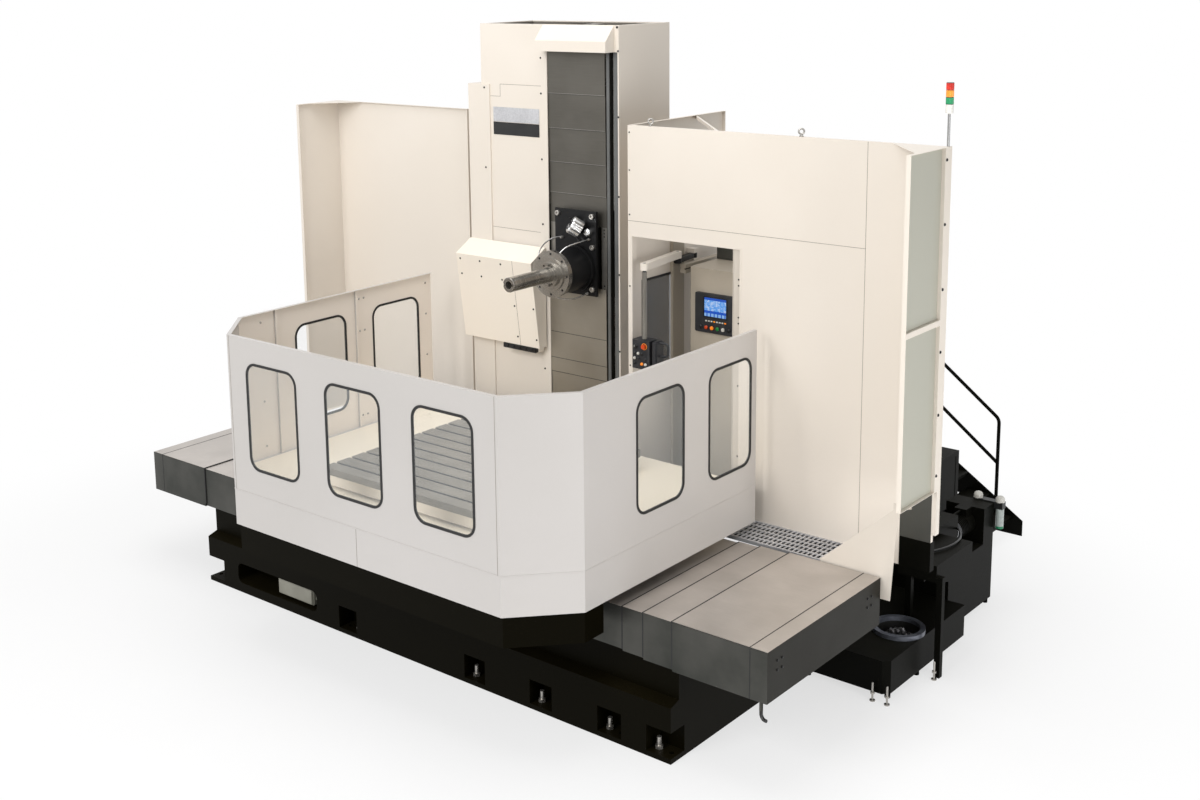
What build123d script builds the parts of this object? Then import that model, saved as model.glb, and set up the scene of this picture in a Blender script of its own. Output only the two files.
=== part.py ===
from build123d import *
import os
from math import atan2, copysign, cos, degrees, hypot, radians, sin

# A table-type horizontal boring machine. Millimetres, +Z up, floor at Z = 0.
# X runs along the table bed, Y along the spindle (towards the column is +Y), and the origin lies
# on the floor where the spindle's vertical plane crosses the centre line of the table bed.

# General sheet-metal and fitting sizes
sheet = 3.0
thick_sheet = 5.0
tray_depth = 35.0
overrun = 20.0
seat_gap = 0.3
running_fit = 0.05
wall_gap = 10.0

# Table bed
bed_half_length = 2628.0
bed_half_width = 790.0
plinth_height = 430.0
bed_web_half_width = 690.0
bed_top = 800.0
bed_wing_height = 81.0
way_offset = 520.0
way_width = 160.0
way_height = 60.0
bed_edge_chamfer = 30.0
pocket_width = 220.0
pocket_height = 200.0
pocket_floor = 40.0
pocket_depth = 170.0
pocket_inset = 85.0
pocket_hole_offset = 55.0
pocket_shares = (-0.96, -0.28, 0.28, 0.54, 0.79, 0.96)
foundation_hole = 40.0
levelling_bolt = 36.0
levelling_head = 60.0
levelling_head_height = 26.0
levelling_bolt_height = 130.0
core_slot_ends_share = (-0.84, -0.43)
core_slot_height = 190.0
core_slot_floor = 90.0
core_slot_depth = 240.0
core_slot_corner = 60.0

# Screw drives, one for each linear axis
screw_diameter = 80.0
screw_axis_height = 90.0
bearing_block_length = 100.0
bearing_block_half_width = 100.0
bearing_block_rise = 60.0
screw_overhang = 170.0
motor_size = 170.0
motor_length = 330.0
motor_corner = 22.0
coupling_diameter = 110.0

# Telescopic steel covers over the table bed
cover_half_length = 3411.0
cover_half_width = 790.0
cover_top = 1092.0
cover_side = 373.0
cover_sheet = 4.0
cover_step = 8.0
cover_end_length = 771.0
cover_cap_length = 139.0
cover_cap_groove = 6.0
cover_end_plate = 10.0
cover_first_length = 716.0
cover_first_show = 351.0
cover_second_length = 650.0
cover_second_show = 285.0
cover_inner_reach = 2369.0
cover_lip = 30.0
wiper_length = 22.0
cover_shares = (1 / 3, 2 / 3)
drain_pipe = 26.0
drain_drop = 70.0
drain_reach = 60.0

# Saddle, its chip pan and the guard round the table
saddle_rest = 285.0
saddle_half_length = 1000.0
saddle_lower_half_width = 740.0
saddle_upper_half_width = 900.0
saddle_shoulder = 1102.0
saddle_top = 1395.0
saddle_corner = 20.0
nut_half_width = 110.0
screw_channel_half_width = 260.0
screw_channel_rise = 150.0
guard_bottom = 1140.0
guard_seam = 307.0
guard_height = 1600.0
guard_half_width = 1855.0
guard_front = 1570.0
guard_chamfer_x = 402.0
guard_chamfer_y = 437.0
guard_rear_right = 1079.0
guard_rear_left = 1175.0
floor_ring_width = 70.0
window_width = 606.0
window_height = 896.0
window_sill = 515.0
window_corner = 115.0
window_pitch = 928.0
side_window_start = -227.0
gasket_width = 20.0
gasket_depth = 12.0
pane_thickness = 6.0
pan_inset = 28.0
pan_depth = 240.0

# Rotary table
table_width = 1800.0
table_length = 1920.0
table_offset = -130.0
table_top = 1620.0
table_thickness = 150.0
table_corner = 24.0
neck_radius = 640.0
neck_height = 50.0
bearing_inner_radius = 460.0
table_bore = 120.0
table_bore_depth = 110.0
slot_count = 11
slot_pitch = 166.0
slot_width = 28.0
slot_head_width = 48.0
slot_neck_depth = 30.0
slot_head_depth = 22.0
table_edge_step = 60.0
table_edge_inset = 14.0

# Column bed
column_bed_offset = -360.0
column_bed_half_width = 760.0
column_bed_web_half_width = 640.0
column_bed_end = 4500.0
column_way_offset = 480.0
column_screw_start = 1010.0

# Column, its casing, the tool arm housing and the way cover plates
column_front = 1525.0
column_left = -1168.0
column_right = 444.0
column_depth = 755.0
column_top = 5090.0
column_base_top = 1130.0
column_base_depth = 1075.0
casing_sheet = 8.0
casing_rim = 40.0
casing_bottom = 1150.0
frame_wall = 60.0
shaft_left = -390.0
shaft_right = 300.0
ways_left = -368.0
ways_right = 283.0
recess_right = 430.0
rail_width = 70.0
rail_depth = 45.0
rail_right_x = 350.0
rail_left_x = -440.0
track_left = -1325.0
track_right = -1058.0
track_top = 4532.0
track_proud = 14.0
track_depth = 330.0
hood_left = -402.0
hood_right = 396.0
hood_reach = 125.0
hood_drop = 135.0
hood_face = 95.0
arm_left = -1339.0
arm_right = -405.0
arm_roof_rear = 3056.0
arm_roof_front = 2938.0
arm_bottom = 2118.0
arm_reach_top = 225.0
arm_reach_bottom = 116.0
arm_slot_width = 250.0
arm_slot_height = 46.0
plate_sheet = 4.0
plate_step = plate_sheet
upper_plate_feet = (4472.0, 4159.0, 3853.0, 3572.0, 3303.0)
upper_plate_heads = (5075.0, 4760.0, 4450.0, 4140.0, 3860.0)
lower_plate_heads = (2742.0, 2272.0, 2025.0, 1780.0)
lower_plate_feet = (1890.0, 1640.0, 1395.0, 1135.0)
plate_sill = 50.0

# Spindle head
spindle_height = 2925.0
head_plate_left = -244.0
head_plate_right = 227.0
head_plate_bottom = 2682.0
head_plate_top = 3453.0
head_plate_thickness = 25.0
head_plate_proud = 60.0
head_strip_width = 30.0
head_carriage_thickness = 45.0
head_body_half_width = 215.0
head_body_below = 225.0
head_body_above = 330.0
housing_diameter = 396.0
housing_foot_diameter = 430.0
housing_foot_length = 40.0
nose_face = 1100.0
nose_ring_diameter = 420.0
nose_ring_thickness = 46.0
nose_ring_lip = 300.0
nose_ring_lip_length = 14.0
nose_bolt_circle = 364.0
nose_bolt_diameter = 22.0
nose_bolt_count = 8
mill_diameter = 264.0
mill_nose_diameter = 222.0
mill_nose_length = 26.0
mill_length = 640.0
mill_bolt_circle = 177.8
mill_bolt_diameter = 20.0
mill_bolt_count = 6
drive_key_width = 40.0
drive_key_height = 18.0
boring_diameter = 130.0
boring_tip = 535.0
boring_length = 1145.0
taper_mouth = 69.85
taper_length = 101.8
taper_ratio = 7 / 24
drawbar_bore = 32.0
tip_key_width = 25.4
tip_key_depth = 10.0
tip_chamfer = 4.0
nozzle_height = 395.0
nozzle_size = 120.0
nozzle_depth = 110.0
nozzle_pipe = 20.0
nozzle_pipe_length = 120.0
nozzle_tilt = 38.0

# Rear walls, booth, walkway and stairs
booth_front = 1213.0
booth_left = 769.0
booth_right = 3600.0
booth_top = 4280.0
booth_rear = 2650.0
deck_level = 1092.0
wall_below_deck = 50.0
door_left = 811.0
door_right = 1889.0
door_top = 3337.0
wall_seam = 3468.0
wall_end_seam = 2999.0
booth_window_ends = (1420.0, 1900.0)
booth_window_heights = (2000.0, 2900.0)
return_front = 630.0
return_bottom = 1690.0
return_rail = 2995.0
return_rim = 42.0
return_post_foot = 1340.0
gusset_leg_wall = 400.0
gusset_leg_return = 450.0
post_size = 60.0
tie_height = 300.0
wing_front = 1560.0
wing_left = -3241.0
wing_right = -1392.0
wing_return_front = 1031.0
strut_width = 26.0
strut_start = 1000.0
strut_reach = 900.0
apron_plane = 803.0
apron_left = 2894.0
apron_low_left = 1104.0
apron_peak = 3535.0
apron_peak_height = 1672.0
apron_tip = 3486.0
apron_foot = 920.0
grating_left = 1950.0
grating_right = 3000.0
grating_thickness = 30.0
grating_rows = 5
grating_columns = 22
grating_slot_length = 58.0
grating_slot_width = 22.0
deck_right = 2600.0
deck_rear = 3900.0
deck_thickness = 40.0
stair_top = 1446.0
stair_foot = 2844.0
stair_near = 4140.0
stair_far = 4881.0
stair_steps = 5
stringer_sheet = 10.0
stringer_width = 200.0
tread_depth = 250.0
tread_thickness = 30.0
rail_tube = 34.0
rail_height = 900.0
rail_mid_share = 0.5
rail_bend = 90.0
rail_foot_share = 0.80

# Operator controls
cabinet_left = 1000.0
cabinet_right = 1600.0
cabinet_front = 1800.0
cabinet_depth = 520.0
cabinet_top = 3000.0
panel_left = 1077.0
panel_right = 1492.0
panel_bottom = 2440.0
panel_top = 2790.0
panel_thickness = 28.0
panel_corner = 14.0
screen_width = 230.0
screen_height = 170.0
screen_recess = 6.0
screen_rise = 55.0
button_diameter = 26.0
button_length = 12.0
button_count = 6
button_pitch = 58.0
button_rise = 48.0
boom_height = 3060.0
boom_pivot_y = 2100.0
boom_pivot_offset = 62.0
boom_bracket_height = 150.0
boom_link_length = 300.0
boom_link_shift = 40.0
boom_link_size = 46.0
boom_arm_size = 60.0
boom_pin = 30.0
boom_hub = 70.0
pendant_x = 950.0
pendant_y = 1200.0
pendant_width = 180.0
pendant_depth = 130.0
pendant_top = 2460.0
pendant_height = 250.0
pendant_corner = 16.0
pendant_conduit = 34.0
pendant_handle = 16.0
pendant_handle_gap = 18.0
estop_diameter = 40.0
estop_stem = 22.0
estop_travel = 6.0
estop_head = 14.0
estop_inset = 48.0

# Signal tower
signal_pole = 20.0
signal_base = 56.0
signal_base_bottom = 4520.0
signal_base_height = 62.0
lamp_height = 52.0
lamp_count = 3

# Coolant tank with its front sump, chip conveyor and chip drum
tank_left = 2300.0
tank_right = 3250.0
tank_front = 2330.0
tank_rear = 3200.0
tank_top = 610.0
tank_foot_height = 60.0
tank_foot = 46.0
tank_sheet = 6.0
sump_left = 2640.0
sump_right = 3400.0
sump_front = 980.0
sump_top = 330.0
sump_corner = 50.0
trough_left = 2200.0
trough_right = 2500.0
trough_bottom = 80.0
trough_top = 380.0
head_box_left = 2880.0
head_box_right = 3210.0
head_box_front = 1950.0
head_box_rear = 2560.0
head_box_top = 1000.0
head_box_nose_share = 0.55
chute_left = 3150.0
chute_right = 3480.0
chute_front = 1600.0
chute_rear = 2250.0
chute_mouth_length = 240.0
chute_top = 930.0
chute_mouth = 790.0
chute_leg = 50.0
stand_left = 2900.0
stand_front = 3000.0
stand_top = 930.0
gearmotor_x = 3080.0
gearmotor_z = 780.0
gearmotor_diameter = 190.0
gearmotor_length = 260.0
gearmotor_box = 110.0
gearmotor_fins = 6
gearmotor_core_share = 0.8
cable_diameter = 18.0
bin_x = 3190.0
bin_y = 1560.0
bin_radius = 175.0
bin_depth = 220.0
bin_sheet = 4.0
bin_rim = 36.0
bin_clearance = 5.0
bowl_diameter = 70.0
bowl_height = 180.0
bowl_pitch = 200.0
bowl_overhang = 40.0
bowl_count = 2
bowl_head_height = 60.0
bowl_base = 700.0

# Heights and places that follow from the sizes above
way_top = bed_top + way_height
guard_floor = guard_bottom + guard_seam
guard_top = guard_bottom + guard_height
column_rear = column_front + column_depth
tower_x = booth_right + tray_depth / 2
table_centre = (saddle_rest, table_offset)
table_under = table_top - table_thickness
bearing_top = table_under - neck_height
wall_bottom = deck_level - wall_below_deck
head_plate_face = column_front - head_plate_proud
stair_angle = degrees(atan2(deck_level, stair_foot - stair_top))

os.makedirs("parts", exist_ok=True)


def save(piece, name):
    """Label one finished piece and write it to its own file."""
    piece.part.label = name
    export_step(piece.part, f"parts/{name}.step")


def outline(points, plane):
    """A closed straight-sided face on a plane."""
    with BuildSketch(plane) as drawn:
        with BuildLine():
            Polyline(*points, close=True)
        make_face()
    return drawn.sketch


def prism(points, plane, depth, mode=Mode.ADD):
    """Extrude a closed outline along its plane's normal."""
    extrude(outline(points, plane), amount=depth, mode=mode)


def block(x_ends, y_ends, z_ends, mode=Mode.ADD):
    """A rectangular web, rib or pad between pairs of end places."""
    (left, right), (near, far) = x_ends, y_ends
    corners = [(left, near), (right, near), (right, far), (left, far)]
    prism(corners, Plane.XY.offset(z_ends[0]), z_ends[1] - z_ends[0], mode)


def rod(centre, normal, diameter, length, mode=Mode.ADD):
    """A round bar that starts at a point and runs along a direction."""
    with BuildSketch(Plane(origin=centre, z_dir=normal)) as section:
        Circle(diameter / 2)
    extrude(section.sketch, amount=length, mode=mode)


def mitred(points, distance):
    """The run of points that lies a distance to the left of an open run, with mitred corners."""
    moved = []
    for index, point in enumerate(points):
        before = points[max(index - 1, 0)]
        after = points[min(index + 1, len(points) - 1)]
        runs = [(b[0] - a[0], b[1] - a[1]) for a, b in ((before, point), (point, after)) if a != b]
        normals = [(-dy / hypot(dx, dy), dx / hypot(dx, dy)) for dx, dy in runs]
        sum_x = sum(normal[0] for normal in normals)
        sum_y = sum(normal[1] for normal in normals)
        scale = distance * len(normals) / (sum_x**2 + sum_y**2)
        moved.append((point[0] + sum_x * scale, point[1] + sum_y * scale))
    return moved


def wall_band(points, thickness, bottom, height, first=0, last=None):
    """A folded upright sheet along a run of plan points, or along a stretch of that run."""
    inner = mitred(points, thickness)
    prism([*points[first:last], *reversed(inner[first:last])], Plane.XY.offset(bottom), height)


def tray(plane, width, height, depth=tray_depth, holes=()):
    """A folded panel: a face sheet with a flange turned back on all four sides."""
    prism([(0, 0), (width, 0), (width, height), (0, height)], plane, -depth)
    inner = [(sheet, sheet), (width - sheet, sheet), (width - sheet, height - sheet), (sheet, height - sheet)]
    prism(inner, plane.offset(-sheet), -depth, Mode.SUBTRACT)
    for left, bottom, hole_width, hole_height in holes:
        hole = [(left, bottom), (left + hole_width, bottom)]
        hole += [(left + hole_width, bottom + hole_height), (left, bottom + hole_height)]
        prism(hole, plane.offset(overrun), -depth - 2 * overrun, Mode.SUBTRACT)


def motor(start, direction):
    """A square servo motor with its coupling, running on from a screw end."""
    rod(start, direction, coupling_diameter, screw_overhang)
    face = Vector(*start) + Vector(*direction) * screw_overhang
    with BuildSketch(Plane(origin=face, z_dir=direction)) as section:
        RectangleRounded(motor_size, motor_size, motor_corner)
    extrude(section.sketch, amount=motor_length)


# Table bed: a cast plinth, a narrower web and two box ways, with cantilevered wings that carry the
# ends of the covers. Its levelling pockets and core slot open through the long faces.
wing_end = cover_half_length - cover_end_plate
bed_side = [
    (-bed_half_width, 0),
    (bed_half_width, 0),
    (bed_half_width, plinth_height),
    (bed_web_half_width, plinth_height + bed_edge_chamfer),
    (bed_web_half_width, bed_top),
]
bed_side += [(-y, z) for y, z in reversed(bed_side[3:])]
bed_side.append((-bed_half_width, plinth_height))
pocket_places = [share * bed_half_length for share in pocket_shares]
hole_row = bed_half_width - pocket_inset

with BuildPart() as x_bed:
    prism(bed_side, Plane.YZ.offset(-bed_half_length), 2 * bed_half_length)
    wing_z = (bed_top - bed_wing_height, bed_top)
    block((-wing_end, wing_end), (-bed_web_half_width, bed_web_half_width), wing_z)
    for side in (-1, 1):
        ways = (side * way_offset - way_width / 2, side * way_offset + way_width / 2)
        block((-bed_half_length, bed_half_length), ways, (bed_top, way_top))
        for place in pocket_places:
            span = (place - pocket_width / 2, place + pocket_width / 2)
            mouth = sorted((side * (bed_half_width + overrun), side * (bed_half_width - pocket_depth)))
            block(span, mouth, (pocket_floor, pocket_floor + pocket_height), Mode.SUBTRACT)
            outward = copysign(pocket_hole_offset, place)
            for offset_x, size in ((outward, foundation_hole), (-outward, levelling_bolt + 2 * seat_gap)):
                start = (place + offset_x, side * hole_row, -overrun)
                rod(start, (0, 0, 1), size, pocket_floor + 2 * overrun, Mode.SUBTRACT)
    slot_ends = [share * bed_half_length for share in core_slot_ends_share]
    slot_plane = Plane(
        origin=(sum(slot_ends) / 2, -bed_half_width - overrun, core_slot_floor + core_slot_height / 2),
        x_dir=(1, 0, 0),
        z_dir=(0, -1, 0),
    )
    with BuildSketch(slot_plane) as core_slot:
        RectangleRounded(slot_ends[1] - slot_ends[0], core_slot_height, core_slot_corner)
    extrude(core_slot.sketch, amount=-core_slot_depth - overrun, mode=Mode.SUBTRACT)
save(x_bed, "x_bed")

with BuildPart() as levelling_bolts:
    for place in pocket_places:
        for side in (-1, 1):
            foot = (place - copysign(pocket_hole_offset, place), side * hole_row, 0)
            rod(foot, (0, 0, 1), levelling_bolt, levelling_bolt_height)
            with BuildSketch(Plane.XY.offset(pocket_floor)) as nut:
                with Locations(foot[:2]):
                    RegularPolygon(levelling_head / 2, 6)
            extrude(nut.sketch, amount=levelling_head_height)
save(levelling_bolts, "levelling_bolts")

# The table screw: two bearing blocks on the bed, the screw between them and its servo motor.
screw_z = bed_top + screw_axis_height
block_start = bed_half_length - screw_overhang - bearing_block_length
with BuildPart() as x_screw_drive:
    for side in (-1, 1):
        span = sorted((side * block_start, side * (block_start + bearing_block_length)))
        half = bearing_block_half_width
        block(span, (-half, half), (bed_top, screw_z + bearing_block_rise))
    rod((-block_start, 0, screw_z), (1, 0, 0), screw_diameter, 2 * block_start)
    motor((-block_start - bearing_block_length, 0, screw_z), (-1, 0, 0))
save(x_screw_drive, "x_screw_drive")


def cover_shell(left, right, step, wiper_side=0):
    """One telescopic cover: a folded hood with turned-in side lips, nested a number of steps in.

    A wiper strip under its inner edge rides on the next cover inwards.
    """
    half = cover_half_width - step * cover_step
    top = cover_top - step * cover_step
    foot = cover_top - cover_side + step * cover_step
    inner = half - cover_sheet
    lip = inner - cover_lip
    section = [(-half, foot), (-half, top), (half, top), (half, foot), (lip, foot), (lip, foot + cover_sheet)]
    section += [(inner, foot + cover_sheet), (inner, top - cover_sheet), (-inner, top - cover_sheet)]
    section += [(-inner, foot + cover_sheet), (-lip, foot + cover_sheet), (-lip, foot)]
    prism(section, Plane.YZ.offset(left), right - left)
    if wiper_side:
        edge = left if wiper_side > 0 else right - wiper_length
        block((edge, edge + wiper_length), (-inner, inner), (top - cover_step, top - cover_sheet))


# Telescopic covers. The outermost pair is fixed to the bed ends, the innermost pair to the saddle,
# and the two on each side between them share out the saddle's travel.
end_inner = cover_half_length - cover_end_length
with BuildPart() as cover_ends:
    for side in (-1, 1):
        cover_shell(*sorted((side * end_inner, side * cover_half_length)), 0, side)
        plate = sorted((side * wing_end, side * cover_half_length))
        y_ends = (cover_sheet - cover_half_width, cover_half_width - cover_sheet)
        block(plate, y_ends, (cover_top - cover_side, cover_top - cover_sheet))
        groove = side * (cover_half_length - cover_cap_length)
        groove_ends = (groove - cover_cap_groove / 2, groove + cover_cap_groove / 2)
        top_cut = (cover_top - cover_sheet / 2, cover_top + overrun)
        block(groove_ends, (-cover_half_width, cover_half_width), top_cut, Mode.SUBTRACT)
    elbow = Vector(cover_half_length - drain_reach, drain_pipe - cover_half_width, cover_top - cover_side)
    rod(tuple(elbow), (0, 0, -1), drain_pipe, drain_drop)
save(cover_ends, "cover_ends")

first_inner = end_inner - cover_first_show
second_inner = first_inner - cover_second_show
for side, word in ((1, "right"), (-1, "left")):
    spans = ((first_inner, cover_first_length), (second_inner, cover_second_length))
    for number, (inner_edge, length) in enumerate(spans, start=1):
        shift = saddle_rest * cover_shares[number - 1]
        ends = (shift + side * inner_edge, shift + side * (inner_edge + length))
        with BuildPart() as cover_segment:
            cover_shell(*sorted(ends), number, side)
        save(cover_segment, f"cover_{word}_{number}")

with BuildPart() as cover_inner:
    for side in (-1, 1):
        ends = (saddle_rest + side * saddle_half_length, saddle_rest + side * cover_inner_reach)
        cover_shell(*sorted(ends), len(cover_shares) + 1)
save(cover_inner, "cover_inner")

# Saddle: a stepped casting on the bed ways, with the nut of the table screw bored through its keel
# and a ring on top that carries the guard floor.
saddle_span = (saddle_rest - saddle_half_length, saddle_rest + saddle_half_length)
saddle_side = [
    (-saddle_lower_half_width, way_top),
    (saddle_lower_half_width, way_top),
    (saddle_lower_half_width, saddle_shoulder),
    (saddle_upper_half_width, saddle_shoulder),
    (saddle_upper_half_width, saddle_top - saddle_corner),
    (saddle_upper_half_width - saddle_corner, saddle_top),
]
saddle_side += [(-y, z) for y, z in reversed(saddle_side)]
ring_inner = neck_radius + floor_ring_width / 2
ring_outer = ring_inner + floor_ring_width
floor_under = guard_floor - thick_sheet
with BuildPart() as saddle:
    prism(saddle_side, Plane.YZ.offset(saddle_span[0]), 2 * saddle_half_length)
    for side in (-1, 1):
        channel = sorted((side * nut_half_width, side * screw_channel_half_width))
        channel_z = (way_top - overrun, way_top + screw_channel_rise)
        block(saddle_span, channel, channel_z, Mode.SUBTRACT)
    rod(
        (saddle_span[0] - overrun, 0, screw_z),
        (1, 0, 0),
        screw_diameter + 2 * running_fit,
        2 * saddle_half_length + 2 * overrun,
        Mode.SUBTRACT,
    )
    block(saddle_span, (-nut_half_width, nut_half_width), (way_top - overrun, way_top), Mode.SUBTRACT)
    with BuildSketch(Plane.XY.offset(saddle_top)) as ring:
        with Locations(table_centre):
            Circle(ring_outer)
            Circle(ring_inner, mode=Mode.SUBTRACT)
    extrude(ring.sketch, amount=floor_under - saddle_top)
save(saddle, "saddle")

# Plan of the guard: down the left side, across the front and up the right side, walked so that
# the inside of the guard lies on the left hand.
guard_y = guard_front - guard_chamfer_y
guard_x = guard_half_width - guard_chamfer_x
front_run = [(-guard_half_width, -guard_y), (-guard_x, -guard_front), (guard_x, -guard_front)]
front_run.append((guard_half_width, -guard_y))


def on_saddle(points):
    """Shift plan points from the table centre to where the saddle stands."""
    return [(x + saddle_rest, y) for x, y in points]


# The guard floor is a folded pan whose rim turns down to make the white band below the seam.
guard_ends = (-guard_half_width, guard_rear_left), (guard_half_width, guard_rear_right)
guard_plan = on_saddle([guard_ends[0], *front_run, guard_ends[1]])
with BuildPart() as guard_base:
    wall_band(guard_plan, sheet, guard_bottom, guard_seam)
    wall_band(guard_plan, tray_depth, guard_bottom, sheet)
    prism(guard_plan, Plane.XY.offset(floor_under), thick_sheet)
    rod((*table_centre, guard_bottom), (0, 0, 1), 2 * ring_inner, guard_height, Mode.SUBTRACT)
save(guard_base, "guard_base")

# The dark chip pan under the front of the guard, against the front face of the saddle.
pan_run = on_saddle(mitred(front_run, pan_inset))
pan_back = -saddle_upper_half_width
pan_plan = [(pan_run[0][0], pan_back), *pan_run, (pan_run[-1][0], pan_back)]
with BuildPart() as chip_pan:
    prism(pan_plan, Plane.XY.offset(guard_bottom - pan_depth), pan_depth)
    pan_inner = [*mitred(pan_plan, thick_sheet)]
    pan_inner[0] = (pan_inner[0][0], pan_back - thick_sheet)
    pan_inner[-1] = (pan_inner[-1][0], pan_back - thick_sheet)
    prism(pan_inner, Plane.XY.offset(guard_bottom - pan_depth + thick_sheet), pan_depth, Mode.SUBTRACT)
save(chip_pan, "chip_pan")

window_low = guard_bottom + window_sill
panel_height = guard_top - guard_floor
front_windows = [saddle_rest + column * window_pitch for column in (-1, 0, 1)]
side_windows = [side_window_start + column * window_pitch for column in (0, 1)]


def window_planes():
    """The outer face of each window: front ones first, then the right and left side ones."""
    middle = window_low + window_height / 2
    places = [((x, -guard_front, middle), (0, -1, 0), (1, 0, 0)) for x in front_windows]
    places += [((saddle_rest + guard_half_width, y, middle), (1, 0, 0), (0, 1, 0)) for y in side_windows]
    places += [((saddle_rest - guard_half_width, y, middle), (-1, 0, 0), (0, -1, 0)) for y in side_windows]
    return [Plane(origin=origin, x_dir=x_dir, z_dir=z_dir) for origin, z_dir, x_dir in places]


def rounded_window(plane, inset):
    """The rounded outline of a window, drawn a margin inside its cut-out."""
    with BuildSketch(plane) as drawn:
        RectangleRounded(window_width - 2 * inset, window_height - 2 * inset, window_corner - inset)
    return drawn.sketch


def guard_panel(first, last, planes):
    """A glazed guard panel on a stretch of the plan: a sheet with inward flanges and window cut-outs."""
    wall_band(guard_plan, sheet, guard_floor, panel_height, first, last)
    wall_band(guard_plan, tray_depth, guard_floor, sheet, first, last)
    wall_band(guard_plan, tray_depth, guard_top - sheet, sheet, first, last)
    for plane in planes:
        cut = rounded_window(plane.offset(overrun), 0)
        extrude(cut, amount=-2 * overrun, mode=Mode.SUBTRACT)


planes = window_planes()
with BuildPart() as guard_front_panel:
    guard_panel(1, 5, planes[:3])
save(guard_front_panel, "guard_front_panel")
with BuildPart() as guard_right_panel:
    guard_panel(4, 6, planes[3:5])
save(guard_right_panel, "guard_right_panel")
with BuildPart() as guard_left_panel:
    guard_panel(0, 2, planes[5:])
save(guard_left_panel, "guard_left_panel")

gasket_proud = (gasket_depth - sheet) / 2
with BuildPart() as window_gaskets:
    for plane in planes:
        face = plane.offset(gasket_proud)
        extrude(rounded_window(face, 0), amount=-gasket_depth)
        extrude(rounded_window(face.offset(overrun), gasket_width), amount=-2 * overrun, mode=Mode.SUBTRACT)
save(window_gaskets, "window_gaskets")

with BuildPart() as window_panes:
    for plane in planes:
        pane_face = plane.offset((pane_thickness - sheet) / 2)
        extrude(rounded_window(pane_face, gasket_width), amount=-pane_thickness)
save(window_panes, "window_panes")

# Rotary table: a slab with T-slots cut along X, a stepped rim, a centre bore and a turned neck that
# runs on the ring bearing let into the saddle.
slot_half = slot_width / 2
slot_section = [(-slot_half, overrun), (-slot_half, -slot_neck_depth)]
slot_section += [(-slot_head_width / 2, -slot_neck_depth)]
slot_section += [(-slot_head_width / 2, -slot_neck_depth - slot_head_depth)]
slot_section += [(-y, z) for y, z in reversed(slot_section)]
with BuildPart() as rotary_table:
    with BuildSketch(Plane.XY.offset(table_under)) as slab:
        with Locations(table_centre):
            RectangleRounded(table_width, table_length, table_corner)
    extrude(slab.sketch, amount=table_thickness)
    with BuildSketch(Plane.XY.offset(table_under)) as rim:
        with Locations(table_centre):
            Rectangle(table_width + overrun, table_length + overrun)
            inset = 2 * table_edge_inset
            RectangleRounded(table_width - inset, table_length - inset, table_corner, mode=Mode.SUBTRACT)
    extrude(rim.sketch, amount=table_thickness - table_edge_step, mode=Mode.SUBTRACT)
    rod((*table_centre, bearing_top), (0, 0, 1), 2 * neck_radius, neck_height)
    for slot in range(slot_count):
        centre = table_offset + (slot - (slot_count - 1) / 2) * slot_pitch
        section = [(y + centre, z + table_top) for y, z in slot_section]
        start = saddle_rest - table_width / 2 - overrun
        prism(section, Plane.YZ.offset(start), table_width + 2 * overrun, Mode.SUBTRACT)
    bore_foot = (*table_centre, table_top - table_bore_depth)
    rod(bore_foot, (0, 0, 1), table_bore, table_bore_depth + overrun, Mode.SUBTRACT)
save(rotary_table, "rotary_table")

with BuildPart() as table_bearing:
    with BuildSketch(Plane.XY.offset(saddle_top)) as race:
        with Locations(table_centre):
            Circle(neck_radius - wall_gap)
            Circle(bearing_inner_radius, mode=Mode.SUBTRACT)
    extrude(race.sketch, amount=bearing_top - saddle_top)
save(table_bearing, "table_bearing")

# Column bed, set square to the table bed, with its own pair of box ways.
bed_profile = [
    (column_bed_offset - column_bed_half_width, 0),
    (column_bed_offset + column_bed_half_width, 0),
    (column_bed_offset + column_bed_half_width, plinth_height),
    (column_bed_offset + column_bed_web_half_width, plinth_height + bed_edge_chamfer),
    (column_bed_offset + column_bed_web_half_width, bed_top),
]
bed_profile += [(2 * column_bed_offset - x, z) for x, z in reversed(bed_profile)]
column_bed_length = column_bed_end - bed_half_width
with BuildPart() as column_bed:
    bed_plane = Plane(origin=(0, bed_half_width, 0), x_dir=(1, 0, 0), z_dir=(0, -1, 0))
    prism(bed_profile, bed_plane, -column_bed_length)
    for side in (-1, 1):
        way = column_bed_offset + side * column_way_offset
        way_x = (way - way_width / 2, way + way_width / 2)
        block(way_x, (bed_half_width, column_bed_end), (bed_top, way_top))
save(column_bed, "column_bed")

with BuildPart() as column_screw_drive:
    screw_end = column_bed_end - bearing_block_length - screw_overhang
    half = bearing_block_half_width
    for start in (column_screw_start - bearing_block_length, screw_end):
        span = (start, start + bearing_block_length)
        block_x = (column_bed_offset - half, column_bed_offset + half)
        block(block_x, span, (bed_top, screw_z + bearing_block_rise))
    screw_run = screw_end - column_screw_start
    rod((column_bed_offset, column_screw_start, screw_z), (0, 1, 0), screw_diameter, screw_run)
    motor((column_bed_offset, screw_end + bearing_block_length, screw_z), (0, 1, 0))
save(column_screw_drive, "column_screw_drive")

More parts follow.
